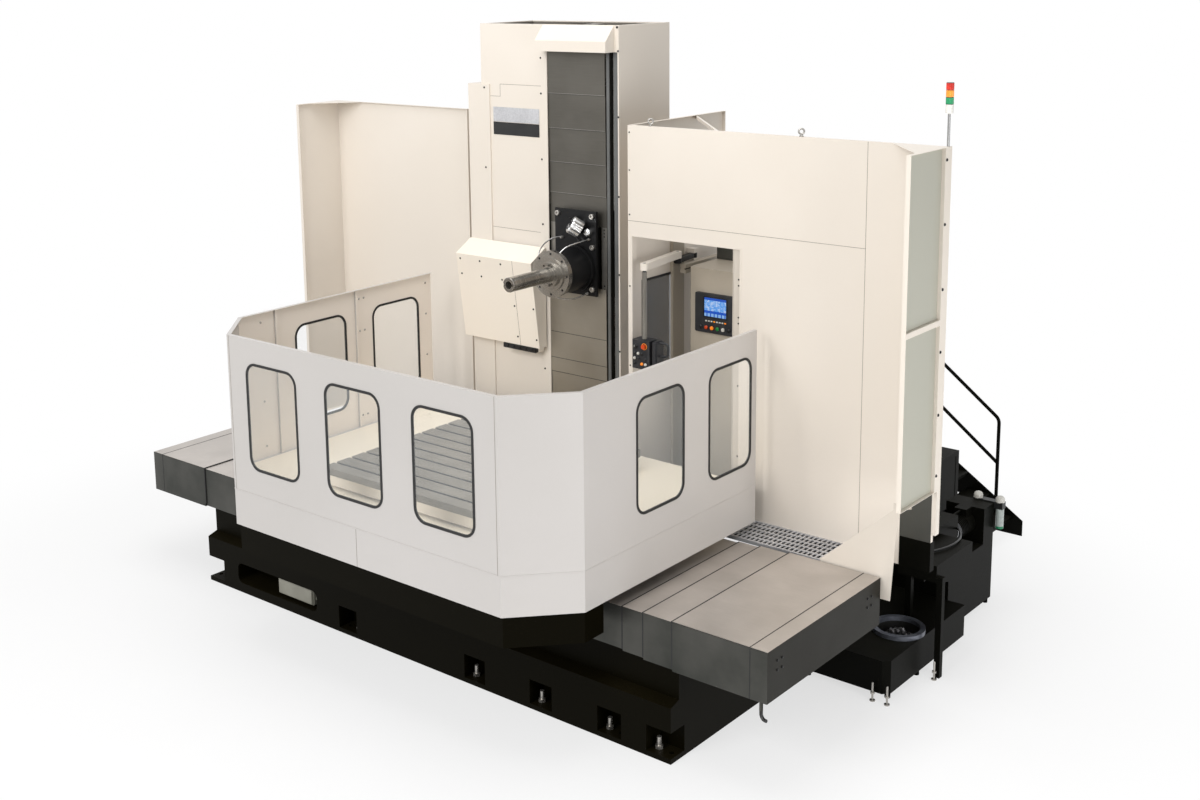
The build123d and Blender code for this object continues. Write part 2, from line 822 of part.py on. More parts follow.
# Column: a cast U in plan whose open front is the shaft that the head travels in, on a broad foot
# that carries the nut of the column screw.
frame_left = column_left + casing_sheet + seat_gap
frame_right = column_right - casing_sheet - seat_gap
plate_y = column_front + casing_sheet
last_layer = len(upper_plate_feet) - 1
carriage_front = plate_y + last_layer * plate_step + plate_sheet
frame_front = carriage_front + head_carriage_thickness + rail_depth
frame_rear = column_rear - casing_sheet - seat_gap
frame_top = column_top - casing_sheet - seat_gap
foot_half = column_bed_web_half_width
with BuildPart() as column_frame:
    shaft_rear = frame_rear - frame_wall
    frame_plan = [(frame_left, frame_front), (shaft_left, frame_front), (shaft_left, shaft_rear)]
    frame_plan += [(shaft_right, shaft_rear), (shaft_right, frame_front), (frame_right, frame_front)]
    frame_plan += [(frame_right, frame_rear), (frame_left, frame_rear)]
    prism(frame_plan, Plane.XY.offset(column_base_top), frame_top - column_base_top)
    hollow_x = (frame_left + frame_wall, shaft_left - frame_wall)
    hollow_y = (frame_front + frame_wall, shaft_rear)
    block(hollow_x, hollow_y, (column_base_top, frame_top + overrun), Mode.SUBTRACT)
    foot_x = (column_bed_offset - foot_half, column_bed_offset + foot_half)
    block(foot_x, (frame_front, column_front + column_base_depth), (way_top, column_base_top))
    sill_y = (plate_y + (last_layer - 1) * plate_step + plate_sheet, frame_front + frame_wall)
    block((shaft_left, shaft_right), sill_y, (column_base_top, column_base_top + plate_sill))
    for side in (-1, 1):
        near = column_bed_offset + side * nut_half_width
        far = column_bed_offset + side * screw_channel_half_width
        span = (column_front - overrun, column_front + column_base_depth + overrun)
        block(sorted((near, far)), span, (way_top - overrun, way_top + screw_channel_rise), Mode.SUBTRACT)
    rod(
        (column_bed_offset, column_front - overrun, screw_z),
        (0, 1, 0),
        screw_diameter + 2 * running_fit,
        column_base_depth + 2 * overrun,
        Mode.SUBTRACT,
    )
save(column_frame, "column_frame")

with BuildPart() as head_rails:
    for rail_x in (rail_left_x, rail_right_x):
        x_ends = (rail_x - rail_width / 2, rail_x + rail_width / 2)
        block(x_ends, (frame_front - rail_depth, frame_front), (column_base_top, frame_top))
        for groove_side in (-1, 1):
            edge = rail_x + groove_side * rail_width / 2
            groove = (edge - rail_width / 6, edge + rail_width / 6)
            depth_ends = (frame_front - 2 * rail_depth / 3, frame_front - rail_depth / 3)
            block(groove, depth_ends, (column_base_top - overrun, frame_top + overrun), Mode.SUBTRACT)
save(head_rails, "head_rails")

# Casing of the column: a folded shell with a rim round its open top and an open strip for the ways,
# the tall cover of the tool arm's track on its left edge, and the sloped hood over the ways.
with BuildPart() as column_casing:
    block((column_left, column_right), (column_front, column_rear), (casing_bottom, column_top))
    inner_x = (column_left + casing_sheet, column_right - casing_sheet)
    inner_y = (column_front + casing_sheet, column_rear - casing_sheet)
    block(inner_x, inner_y, (casing_bottom - overrun, column_top - casing_sheet), Mode.SUBTRACT)
    rim_x = (column_left + casing_rim, column_right - casing_rim)
    rim_y = (column_front + casing_rim, column_rear - casing_rim)
    block(rim_x, rim_y, (column_top - casing_sheet - overrun, column_top + overrun), Mode.SUBTRACT)
    hood_foot = column_top - hood_drop - hood_face
    front_cut = (column_front - overrun, column_front + casing_sheet + overrun)
    block((ways_left, recess_right), front_cut, (casing_bottom - overrun, hood_foot), Mode.SUBTRACT)
    track_y = (column_front - track_proud, column_front + track_depth)
    block((track_left, column_left), track_y, (casing_bottom, track_top))
    block((column_left, track_right), (column_front - track_proud, column_front), (casing_bottom, track_top))
    inner_track = (track_left + casing_sheet, column_left)
    inner_track_y = (column_front - track_proud + casing_sheet, column_front + track_depth - casing_sheet)
    track_z = (casing_bottom - overrun, track_top - casing_sheet)
    block(inner_track, inner_track_y, track_z, Mode.SUBTRACT)
    hood_front = column_front - hood_reach
    hood_side = [(column_front, column_top), (hood_front, column_top - hood_drop), (hood_front, hood_foot)]
    hood_side += [(hood_front + casing_sheet, hood_foot)]
    hood_side += [(hood_front + casing_sheet, column_top - hood_drop - casing_sheet)]
    hood_side += [(column_front, column_top - 2 * casing_sheet)]
    prism(hood_side, Plane.YZ.offset(hood_left), hood_right - hood_left)
    for left in (hood_left, hood_right - casing_sheet):
        cheek = [*hood_side[:3], (column_front, hood_foot)]
        prism(cheek, Plane.YZ.offset(left), casing_sheet)
save(column_casing, "column_casing")

# Housing of the tool arm: a sheet box with a sloped roof and a front that leans back to its foot.
arm_side = [
    (column_front, arm_roof_rear),
    (column_front - arm_reach_top, arm_roof_front),
    (column_front - arm_reach_bottom, arm_bottom),
    (column_front, arm_bottom),
]
with BuildPart() as tool_arm_housing:
    arm_y = column_front - track_proud
    arm_profile = [(min(y, arm_y), z) for y, z in arm_side]
    prism(arm_profile, Plane.YZ.offset(arm_left), arm_right - arm_left)
    arm_inner = [(arm_y + overrun, arm_bottom + sheet)]
    arm_inner += [(arm_y + overrun, arm_roof_rear - 3 * sheet)]
    arm_inner += [(column_front - arm_reach_top + sheet, arm_roof_front - 2 * sheet)]
    arm_inner += [(column_front - arm_reach_bottom + sheet, arm_bottom + sheet)]
    prism(arm_inner, Plane.YZ.offset(arm_left + sheet), arm_right - arm_left - 2 * sheet, Mode.SUBTRACT)
    slot_x = (arm_right - arm_slot_width - tray_depth, arm_right - tray_depth)
    slot_y = (column_front - arm_reach_bottom + tray_depth, arm_y)
    block(slot_x, slot_y, (arm_bottom - arm_slot_height, arm_bottom + tray_depth))
save(tool_arm_housing, "tool_arm_housing")

# Way cover plates: flat sheets that slide over each other. The top and bottom ones belong to the
# column, the ones next to the head belong to it, and the others share out the head's travel.
def way_plate(bottom, top, layer):
    """One flat way cover plate, a number of layers behind the foremost."""
    front = plate_y + layer * plate_step
    block((ways_left, ways_right), (front, front + plate_sheet), (bottom, top))


with BuildPart() as way_plates_fixed:
    way_plate(upper_plate_feet[0], upper_plate_heads[0], 0)
    way_plate(lower_plate_feet[-1], lower_plate_heads[-1], len(lower_plate_feet) - 1)
save(way_plates_fixed, "way_plates_fixed")
for layer in range(1, last_layer):
    with BuildPart() as upper_plate:
        way_plate(upper_plate_feet[layer], upper_plate_heads[layer], layer)
    save(upper_plate, f"way_plate_upper_{layer}")
for layer in range(1, len(lower_plate_feet) - 1):
    with BuildPart() as lower_plate:
        way_plate(lower_plate_feet[layer], lower_plate_heads[layer], layer)
    save(lower_plate, f"way_plate_lower_{layer}")
with BuildPart() as head_way_plates:
    way_plate(upper_plate_feet[-1], upper_plate_heads[-1], last_layer)
    way_plate(lower_plate_feet[0], lower_plate_heads[0], 0)
save(head_way_plates, "head_way_plates")

# The head screw hangs in the column shaft between two bearing blocks, with its motor on top.
head_screw_x = shaft_left + motor_size / 2 + wall_gap
head_screw_y = frame_rear - frame_wall - motor_size / 2 - wall_gap
with BuildPart() as head_screw_drive:
    block_y = (head_screw_y - screw_diameter, frame_rear - frame_wall)
    x_ends = (head_screw_x - motor_size / 2, head_screw_x + motor_size / 2)
    low_block = (column_base_top, column_base_top + bearing_block_length)
    motor_room = screw_overhang + motor_length + wall_gap
    high_block = (frame_top - motor_room - bearing_block_length, frame_top - motor_room)
    block(x_ends, block_y, low_block)
    block(x_ends, block_y, high_block)
    screw_length = high_block[0] - low_block[1]
    rod((head_screw_x, head_screw_y, low_block[1]), (0, 0, 1), screw_diameter, screw_length)
    motor((head_screw_x, head_screw_y, high_block[1]), (0, 0, 1))
save(head_screw_drive, "head_screw_drive")

# Head slide: a carriage on the rails and a body in the shaft, bored for the spindle and the screw nut.
body_rear = head_screw_y + screw_diameter / 2 + thick_sheet
with BuildPart() as head_slide:
    carriage_x = (rail_left_x - rail_width / 2, rail_right_x + rail_width / 2)
    block(carriage_x, (carriage_front, frame_front - rail_depth), (head_plate_bottom, head_plate_top))
    body_z = (spindle_height - head_body_below, spindle_height + head_body_above)
    block((-head_body_half_width, head_body_half_width), (carriage_front, body_rear), body_z)
    lug_x = (head_screw_x - motor_size / 2 + thick_sheet, -head_body_half_width)
    block(lug_x, (head_screw_y - screw_diameter, body_rear), body_z)
    start = (0, carriage_front - overrun, spindle_height)
    body_bore_length = body_rear - carriage_front + 2 * overrun
    rod(start, (0, 1, 0), mill_diameter + 2 * running_fit, body_bore_length, Mode.SUBTRACT)
    nut_start = (head_screw_x, head_screw_y, body_z[0] - overrun)
    nut_length = body_z[1] - body_z[0] + 2 * overrun
    rod(nut_start, (0, 0, 1), screw_diameter + 2 * running_fit, nut_length, Mode.SUBTRACT)
save(head_slide, "head_slide")

# Quill housing: a black front plate with a turned housing that steps up to a bolted foot.
with BuildPart() as quill_housing:
    plate_x = (head_plate_left, head_plate_right)
    plate_rear = head_plate_face + head_plate_thickness
    block(plate_x, (head_plate_face, plate_rear), (head_plate_bottom, head_plate_top))
    keel = (head_plate_left + head_strip_width, head_plate_right - head_strip_width)
    keel_z = (lower_plate_heads[0], upper_plate_feet[-1])
    block(keel, (plate_rear, carriage_front), keel_z)
    ring_rear = nose_face + nose_ring_thickness
    rod((0, ring_rear, spindle_height), (0, 1, 0), housing_diameter, head_plate_face - ring_rear)
    foot_start = head_plate_face - housing_foot_length
    rod((0, foot_start, spindle_height), (0, 1, 0), housing_foot_diameter, housing_foot_length)
    bore_start = (0, ring_rear - overrun, spindle_height)
    bore_length = carriage_front - ring_rear + 2 * overrun
    rod(bore_start, (0, 1, 0), mill_diameter + 2 * running_fit, bore_length, Mode.SUBTRACT)
save(quill_housing, "quill_housing")

with BuildPart() as nose_ring:
    ring_plane = Plane(origin=(0, nose_face, spindle_height), x_dir=(1, 0, 0), z_dir=(0, -1, 0))
    rod((0, nose_face, spindle_height), (0, 1, 0), nose_ring_diameter, nose_ring_thickness)
    lip_start = (0, nose_face - nose_ring_lip_length, spindle_height)
    rod(lip_start, (0, 1, 0), nose_ring_lip, nose_ring_lip_length)
    rod(
        (0, nose_face - nose_ring_lip_length - overrun, spindle_height),
        (0, 1, 0),
        mill_diameter + 2 * running_fit,
        nose_ring_thickness + nose_ring_lip_length + 2 * overrun,
        Mode.SUBTRACT,
    )
    with BuildSketch(ring_plane) as bolt_holes:
        with PolarLocations(nose_bolt_circle / 2, nose_bolt_count):
            Circle(nose_bolt_diameter / 2)
    extrude(bolt_holes.sketch, amount=-nose_ring_thickness / 2, mode=Mode.SUBTRACT)
save(nose_ring, "nose_ring")

# Milling spindle: a stepped sleeve with a bolt circle and two drive keys on its nose.
mill_front = nose_face - nose_ring_lip_length - mill_nose_length
with BuildPart() as milling_spindle:
    sleeve = [(boring_diameter / 2 + running_fit, 0), (mill_nose_diameter / 2, 0)]
    sleeve += [(mill_nose_diameter / 2, mill_nose_length), (mill_diameter / 2, mill_nose_length)]
    sleeve += [(mill_diameter / 2, mill_length), (boring_diameter / 2 + running_fit, mill_length)]
    sleeve_plane = Plane(origin=(0, mill_front, spindle_height), x_dir=(1, 0, 0), z_dir=(0, 0, 1))
    revolve(outline(sleeve, sleeve_plane), axis=Axis((0, mill_front, spindle_height), (0, 1, 0)))
    nose_plane = Plane(origin=(0, mill_front, spindle_height), x_dir=(1, 0, 0), z_dir=(0, -1, 0))
    with BuildSketch(nose_plane) as spindle_holes:
        with PolarLocations(mill_bolt_circle / 2, mill_bolt_count):
            Circle(mill_bolt_diameter / 2)
    extrude(spindle_holes.sketch, amount=-mill_nose_length, mode=Mode.SUBTRACT)
    for side in (-1, 1):
        key_z = spindle_height + side * mill_bolt_circle / 2
        half = drive_key_width / 2
        key_ends = (key_z - half / 2, key_z + half / 2)
        block((-half, half), (mill_front - drive_key_height, mill_front), key_ends)
save(milling_spindle, "milling_spindle")

# Boring spindle: a long bar with a steep taper, a drawbar bore and two key slots in its end.
taper_small = taper_mouth - taper_length * taper_ratio
with BuildPart() as boring_spindle:
    bar = [(0, 0), (boring_diameter / 2 - tip_chamfer, 0), (boring_diameter / 2, tip_chamfer)]
    bar += [(boring_diameter / 2, boring_length), (0, boring_length)]
    bar_plane = Plane(origin=(0, boring_tip, spindle_height), x_dir=(1, 0, 0), z_dir=(0, 0, 1))
    spindle_axis = Axis((0, boring_tip, spindle_height), (0, 1, 0))
    revolve(outline(bar, bar_plane), axis=spindle_axis)
    mouth_radius = taper_mouth / 2 + overrun * taper_ratio / 2
    socket = [(0, -overrun), (mouth_radius, -overrun), (taper_small / 2, taper_length)]
    socket += [(drawbar_bore / 2, taper_length), (drawbar_bore / 2, 2 * taper_length), (0, 2 * taper_length)]
    revolve(outline(socket, bar_plane), axis=spindle_axis, mode=Mode.SUBTRACT)
    for side in (-1, 1):
        slot_x = sorted((side * taper_mouth / 2, side * boring_diameter / 2 + side * overrun))
        half = tip_key_width / 2
        slot_y = (boring_tip - overrun, boring_tip + tip_key_depth)
        block(slot_x, slot_y, (spindle_height - half, spindle_height + half), Mode.SUBTRACT)
save(boring_spindle, "boring_spindle")

# Coolant nozzle block on the front plate, turned about the spindle direction, with two outlet pipes.
nozzle_centre = (0, head_plate_face, spindle_height + nozzle_height)
tilt_x = (cos(radians(nozzle_tilt)), 0, sin(radians(nozzle_tilt)))
with BuildPart() as coolant_nozzle:
    with BuildSketch(Plane(origin=nozzle_centre, x_dir=tilt_x, z_dir=(0, -1, 0))) as nozzle_face:
        RectangleRounded(nozzle_size, nozzle_size, nozzle_size / 6)
    extrude(nozzle_face.sketch, amount=nozzle_depth)
    for side in (-1, 1):
        start_x = side * nozzle_size / 5
        start = Vector(*nozzle_centre) + Vector(*tilt_x) * start_x - Vector(0, nozzle_depth / 2, 0)
        run = Vector(tilt_x[2], 0, -tilt_x[0])
        rod(tuple(start), tuple(run), nozzle_pipe, nozzle_size / 2 + nozzle_pipe_length)
save(coolant_nozzle, "coolant_nozzle")


def front_plane(x, y, z):
    """An upright plane that faces the front, with its origin at a corner."""
    return Plane(origin=(x, y, z), x_dir=(1, 0, 0), z_dir=(0, -1, 0))


def side_plane(x, y, z, facing):
    """An upright plane that faces along X, with its origin at its lower front or rear corner."""
    return Plane(origin=(x, y, z), x_dir=(0, facing, 0), z_dir=(facing, 0, 0))


# Booth walls: folded panels that meet at the seams, the lower one cut out for the doorway, and the
# left wall with the window that the operator looks through and the bracket of the pendant boom.
pivot = (booth_left + boom_pivot_offset, boom_pivot_y)
bracket_y = (pivot[1] - boom_hub / 2, pivot[1] + boom_hub / 2)
lower_cheek = (boom_height - boom_link_size - boom_bracket_height / 4, boom_height - boom_link_size)
upper_cheek = (boom_height, boom_height + boom_bracket_height / 4)
with BuildPart() as booth_walls:
    tray(front_plane(booth_left, booth_front, wall_seam), wall_end_seam - booth_left, booth_top - wall_seam)
    doorway = (door_left - booth_left, deck_level - wall_bottom)
    doorway += (door_right - door_left, door_top - deck_level)
    lower = front_plane(booth_left, booth_front, wall_bottom)
    tray(lower, wall_end_seam - booth_left, wall_seam - wall_bottom, holes=[doorway])
    end_panel = front_plane(wall_end_seam, booth_front, wall_bottom)
    tray(end_panel, booth_right - wall_end_seam, booth_top - wall_bottom)
    wall_y = booth_front + tray_depth
    window_hole = (
        booth_rear - booth_window_ends[1],
        booth_window_heights[0] - deck_level,
        booth_window_ends[1] - booth_window_ends[0],
        booth_window_heights[1] - booth_window_heights[0],
    )
    left_face = side_plane(booth_left, booth_rear, deck_level, -1)
    tray(left_face, booth_rear - wall_y, booth_top - deck_level, holes=[window_hole])
    strut_x = booth_left + sheet
    strut_y = booth_front + sheet
    strut = [(strut_x, strut_y + strut_start), (strut_x + strut_reach, strut_y)]
    strut += [(strut_x + strut_reach + strut_width, strut_y), (strut_x, strut_y + strut_start + strut_width)]
    prism(strut, Plane.XY.offset(booth_top - tray_depth), strut_width)
    for cheek in (lower_cheek, upper_cheek):
        block((strut_x, pivot[0] + boom_hub / 2), bracket_y, cheek)
    block((strut_x, strut_x + thick_sheet), bracket_y, (lower_cheek[0], upper_cheek[1]))
    rod((*pivot, lower_cheek[0]), (0, 0, 1), boom_pin, upper_cheek[1] - lower_cheek[0])
save(booth_walls, "booth_walls")

with BuildPart() as booth_window_pane:
    pane_y = (booth_window_ends[0] - gasket_width, booth_window_ends[1] + gasket_width)
    pane_z = (booth_window_heights[0] - gasket_width, booth_window_heights[1] + gasket_width)
    block((booth_left - pane_thickness, booth_left), pane_y, pane_z)
save(booth_window_pane, "booth_window_pane")


def corner_gusset(corner, leg_x, leg_y):
    """A level triangular sheet in the top corner between a wall and its return."""
    x, y = corner
    points = [(x, y), (x + leg_x, y), (x, y - leg_y)]
    if leg_x < 0:
        points.reverse()
    prism(points, Plane.XY.offset(booth_top - sheet), sheet)


# Right return: a tray that opens outwards, with a middle rail, hung on a post of the booth wall.
return_face = booth_right + tray_depth
with BuildPart() as right_return:
    inner_face = side_plane(booth_right, booth_front, return_bottom, -1)
    tray(inner_face, booth_front - return_front, booth_top - return_bottom)
    y_ends = (return_front + sheet, booth_front - sheet)
    rail_z = (return_rail - return_rim / 2, return_rail + return_rim / 2)
    block((booth_right + sheet, return_face), y_ends, rail_z)
    rim_y = (booth_front - return_rim, booth_front - sheet)
    block((booth_right + sheet, return_face), rim_y, (return_bottom + sheet, booth_top - sheet))
    post = (booth_front, booth_front + post_size)
    block((booth_right, return_face), post, (return_post_foot, booth_top))
    corner_gusset((booth_right, booth_front), -gusset_leg_wall, gusset_leg_return)
save(right_return, "right_return")

# Left wing: a wall and a return in one folded sheet, on three posts.
wing_rear = wing_front + tray_depth
wing_plan = [(wing_left, wing_return_front), (wing_left, wing_rear), (wing_right, wing_rear)]
with BuildPart() as left_wing:
    wing_height = booth_top - wall_bottom
    wall_band(wing_plan, -sheet, wall_bottom, wing_height)
    wall_band(wing_plan, -tray_depth, wall_bottom, sheet)
    wall_band(wing_plan, -tray_depth, booth_top - sheet, sheet)
    return_y = (wing_return_front, wing_return_front + sheet)
    block((wing_left, wing_left + tray_depth), return_y, (wall_bottom, booth_top))
    end_y = (wing_front, wing_rear)
    block((wing_right - sheet, wing_right), end_y, (wall_bottom, booth_top))
    corner_gusset((wing_left, wing_rear), gusset_leg_wall, gusset_leg_return)
    rear_posts = (wing_rear, wing_rear + post_size)
    for post_x in (wing_left, (wing_left + wing_right) / 2, wing_right - post_size):
        block((post_x, post_x + post_size), rear_posts, (0, booth_top - gusset_leg_wall))
    tie_z = (tie_height, tie_height + post_size)
    block((wing_right, column_bed_offset - column_bed_half_width), rear_posts, tie_z)
save(left_wing, "left_wing")

# Apron plate that turns chips back into the covers, hung from the foot of the right return.
with BuildPart() as apron_plate:
    apron_points = [(apron_left, apron_foot), (apron_tip, apron_foot), (apron_peak, apron_peak_height)]
    apron_points += [(apron_left, apron_low_left)]
    prism(apron_points, front_plane(0, apron_plane, 0), -sheet)
    tab = [(apron_peak - return_rim, apron_peak_height - return_rim), (return_face, apron_peak_height)]
    tab += [(return_face, return_bottom), (apron_peak - return_rim, return_bottom)]
    prism(tab, front_plane(0, apron_plane, 0), -sheet)
save(apron_plate, "apron_plate")

# Walkway plank behind the covers: a folded channel with rows of slots.
with BuildPart() as walkway_grating:
    plank_y = (apron_plane + wall_gap, booth_front)
    plank_z = (deck_level - grating_thickness, deck_level)
    block((grating_left, grating_right), plank_y, plank_z)
    under = (plank_z[0] - overrun, deck_level - thick_sheet)
    inner_y = (plank_y[0] + thick_sheet, plank_y[1] - thick_sheet)
    block((grating_left - overrun, grating_right + overrun), inner_y, under, Mode.SUBTRACT)
    middle = ((grating_left + grating_right) / 2, (plank_y[0] + plank_y[1]) / 2)
    row_pitch = (plank_y[1] - plank_y[0]) / grating_rows
    column_pitch = (grating_right - grating_left) / grating_columns
    with BuildSketch(Plane.XY.offset(deck_level)) as slots:
        with Locations(middle):
            with GridLocations(column_pitch, row_pitch, grating_columns, grating_rows):
                Rectangle(grating_slot_width, grating_slot_length)
    extrude(slots.sketch, amount=-grating_thickness, mode=Mode.SUBTRACT)
save(walkway_grating, "walkway_grating")

# Operator deck on legs, with the landing at the head of the stairs.
with BuildPart() as operator_deck:
    deck_front = booth_front + tray_depth
    deck_plan = [(booth_left, deck_front), (deck_right, deck_front), (deck_right, deck_rear)]
    deck_plan += [(stair_top, deck_rear), (stair_top, stair_far), (booth_left, stair_far)]
    prism(deck_plan, Plane.XY.offset(deck_level - deck_thickness), deck_thickness)
    leg_places = [(booth_left, deck_front), (deck_right - post_size, deck_front), (booth_left, deck_rear)]
    leg_places += [(deck_right - post_size, deck_rear - post_size), (booth_left, stair_far - post_size)]
    leg_places += [(stair_top - post_size, stair_far - post_size)]
    leg_places += [(deck_right - post_size, tank_front - 2 * post_size)]
    for leg_x, leg_y in leg_places:
        leg_top = deck_level - deck_thickness
        block((leg_x, leg_x + post_size), (leg_y, leg_y + post_size), (0, leg_top))
    tie_x = (column_bed_offset + column_bed_half_width, booth_left)
    block(tie_x, (deck_front, deck_front + post_size), (tie_height, tie_height + post_size))
save(operator_deck, "operator_deck")

# Stairs: two plate stringers, flat treads and a bent tube handrail on the far side.
rise = deck_level / (stair_steps + 1)
going = (stair_foot - stair_top) / (stair_steps + 1)
drop = stringer_width / cos(radians(stair_angle))
stringer = [(stair_top, deck_level), (stair_foot, drop - stringer_width / 2), (stair_foot, 0)]
stringer += [(stair_foot - drop, 0), (stair_top, deck_level - drop)]
with BuildPart() as stairs:
    for stringer_y in (stair_near, stair_far):
        prism(stringer, front_plane(0, stringer_y, 0), stringer_sheet)
    for step in range(1, stair_steps + 1):
        tread_top = deck_level - step * rise
        tread_x = stair_top + step * going - tread_depth / 2
        tread_y = (stair_near, stair_far - stringer_sheet)
        block((tread_x, tread_x + tread_depth), tread_y, (tread_top - tread_thickness, tread_top))
    rail_y = stair_far - stringer_sheet / 2
    foot_x = stair_top + rail_foot_share * (stair_foot - stair_top)
    slope = deck_level / (stair_foot - stair_top)
    post_x = stair_top + rail_tube
    for share in (1, rail_mid_share):
        top = (post_x, rail_y, deck_level + share * rail_height)
        low = (foot_x, rail_y, deck_level + share * rail_height - slope * (foot_x - post_x))
        foot = (foot_x, rail_y, low[2] - share * rail_height - stringer_width / 2)
        if share == 1:
            with BuildLine() as rail_line:
                FilletPolyline(top, low, foot, radius=rail_bend)
        else:
            with BuildLine() as rail_line:
                Line(top, low)
        rail_start = Plane(origin=top, z_dir=rail_line.line % 0)
        with BuildSketch(rail_start) as rail_section:
            Circle(rail_tube / 2)
        sweep(rail_section.sketch, path=rail_line.line)
    post_foot = deck_level - stringer_width
    rod((post_x, rail_y, post_foot), (0, 0, 1), rail_tube, rail_height + stringer_width)
save(stairs, "stairs")

# Operator controls: the cabinet, its front panel with the screen let in, and rows of push buttons.
with BuildPart() as control_cabinet:
    cabinet_y = (cabinet_front, cabinet_front + cabinet_depth)
    block((cabinet_left, cabinet_right), cabinet_y, (deck_level, cabinet_top))
    chamfer(control_cabinet.edges().filter_by(Axis.Z), panel_corner)
save(control_cabinet, "control_cabinet")

panel_middle = (panel_left + panel_right) / 2
with BuildPart() as operator_panel:
    panel_centre = (panel_middle, cabinet_front, (panel_bottom + panel_top) / 2)
    panel_plane = Plane(origin=panel_centre, x_dir=(1, 0, 0), z_dir=(0, -1, 0))
    with BuildSketch(panel_plane) as bezel:
        RectangleRounded(panel_right - panel_left, panel_top - panel_bottom, panel_corner)
    extrude(bezel.sketch, amount=panel_thickness)
    with BuildSketch(panel_plane.offset(panel_thickness)) as screen:
        with Locations((0, screen_rise)):
            Rectangle(screen_width, screen_height)
    extrude(screen.sketch, amount=-screen_recess, mode=Mode.SUBTRACT)
    for button in range(button_count):
        button_x = panel_middle + (button - (button_count - 1) / 2) * button_pitch
        start = (button_x, cabinet_front - panel_thickness, panel_bottom + button_rise)
        rod(start, (0, -1, 0), button_diameter, button_length)
save(operator_panel, "operator_panel")

# Pendant boom: a link on a wall bracket, a folded arm, and the pendant that swivels under its end.
elbow = (pivot[0] + boom_link_shift, boom_pivot_y - boom_link_length)


def link_bar(start, end, width, bottom, height):
    """A level bar between two plan points."""
    run = Vector(end[0] - start[0], end[1] - start[1])
    across = Vector(-run.Y, run.X) * (width / 2 / run.length)
    corners = [(start[0] + across.X, start[1] + across.Y), (start[0] - across.X, start[1] - across.Y)]
    corners += [(end[0] - across.X, end[1] - across.Y), (end[0] + across.X, end[1] + across.Y)]
    prism(corners, Plane.XY.offset(bottom), height)


with BuildPart() as boom_link:
    link_bottom = boom_height - boom_link_size + seat_gap
    link_height = boom_link_size - 2 * seat_gap
    link_bar(pivot, elbow, boom_link_size, link_bottom, link_height)
    for end in (pivot, elbow):
        rod((*end, link_bottom), (0, 0, 1), boom_hub, link_height)
    pivot_bore = boom_pin + 2 * running_fit
    pivot_length = boom_link_size + 2 * overrun
    rod((*pivot, link_bottom - overrun), (0, 0, 1), pivot_bore, pivot_length, Mode.SUBTRACT)
    rod((*elbow, link_bottom), (0, 0, 1), boom_pin, link_height + boom_arm_size)
save(boom_link, "boom_link")

with BuildPart() as boom_arm:
    arm_bottom_z = boom_height + seat_gap
    link_bar(elbow, (pendant_x, pendant_y), boom_arm_size, arm_bottom_z, boom_arm_size)
    for end in (elbow, (pendant_x, pendant_y)):
        rod((*end, arm_bottom_z), (0, 0, 1), boom_hub, boom_arm_size)
    bore = boom_pin + 2 * running_fit
    for end in (elbow, (pendant_x, pendant_y)):
        start = (*end, arm_bottom_z - overrun)
        rod(start, (0, 0, 1), bore, boom_arm_size + 2 * overrun, Mode.SUBTRACT)
save(boom_arm, "boom_arm")

with BuildPart() as pendant:
    pendant_base = pendant_top - pendant_height
    with BuildSketch(Plane.XY.offset(pendant_base)) as pendant_plan:
        with Locations((pendant_x, pendant_y)):
            RectangleRounded(pendant_width, pendant_depth, pendant_corner)
    extrude(pendant_plan.sketch, amount=pendant_height)
    conduit_length = boom_height - pendant_top
    rod((pendant_x, pendant_y, pendant_top), (0, 0, 1), pendant_conduit, conduit_length)
    rod((pendant_x, pendant_y, boom_height), (0, 0, 1), boom_pin, boom_arm_size)
    handle_z = (pendant_base + pendant_corner, pendant_top - pendant_corner)
    for side in (-1, 1):
        wall_x = pendant_x + side * pendant_width / 2
        grip = (wall_x + side * pendant_handle_gap, pendant_y, handle_z[0])
        rod(grip, (0, 0, 1), pendant_handle, handle_z[1] - handle_z[0])
        for end_z in (handle_z[0] + pendant_handle, handle_z[1] - pendant_handle):
            rod((wall_x, pendant_y, end_z), (side, 0, 0), pendant_handle, pendant_handle_gap)
    well_x = pendant_x + pendant_width / 2 - estop_inset
    well = (well_x, pendant_y - pendant_depth / 2 - overrun, pendant_top - estop_inset)
    well_length = overrun + estop_travel + estop_head
    rod(well, (0, 1, 0), estop_stem + 2 * running_fit, well_length, Mode.SUBTRACT)
save(pendant, "pendant")

with BuildPart() as pendant_estop:
    face_y = pendant_y - pendant_depth / 2
    head_start = (well_x, face_y - estop_travel - estop_head, well[2])
    rod(head_start, (0, 1, 0), estop_diameter, estop_head)
    rod((well_x, face_y - estop_travel, well[2]), (0, 1, 0), estop_stem, estop_travel + estop_head / 2)
save(pendant_estop, "pendant_estop")

# Signal tower on the rear post of the right return.
tower_y = booth_front + post_size / 2
with BuildPart() as signal_tower:
    rod((tower_x, tower_y, booth_top), (0, 0, 1), signal_pole, signal_base_bottom - booth_top)
    rod((tower_x, tower_y, signal_base_bottom), (0, 0, 1), signal_base, signal_base_height)
save(signal_tower, "signal_tower")
with BuildPart() as signal_lamps:
    lamp_start = signal_base_bottom + signal_base_height
    with BuildSketch(Plane.XY.offset(lamp_start)) as lamp_section:
        with Locations((tower_x, tower_y)):
            Circle(signal_base / 2)
    extrude(lamp_section.sketch, amount=lamp_height * lamp_count)
save(signal_lamps, "signal_lamps")

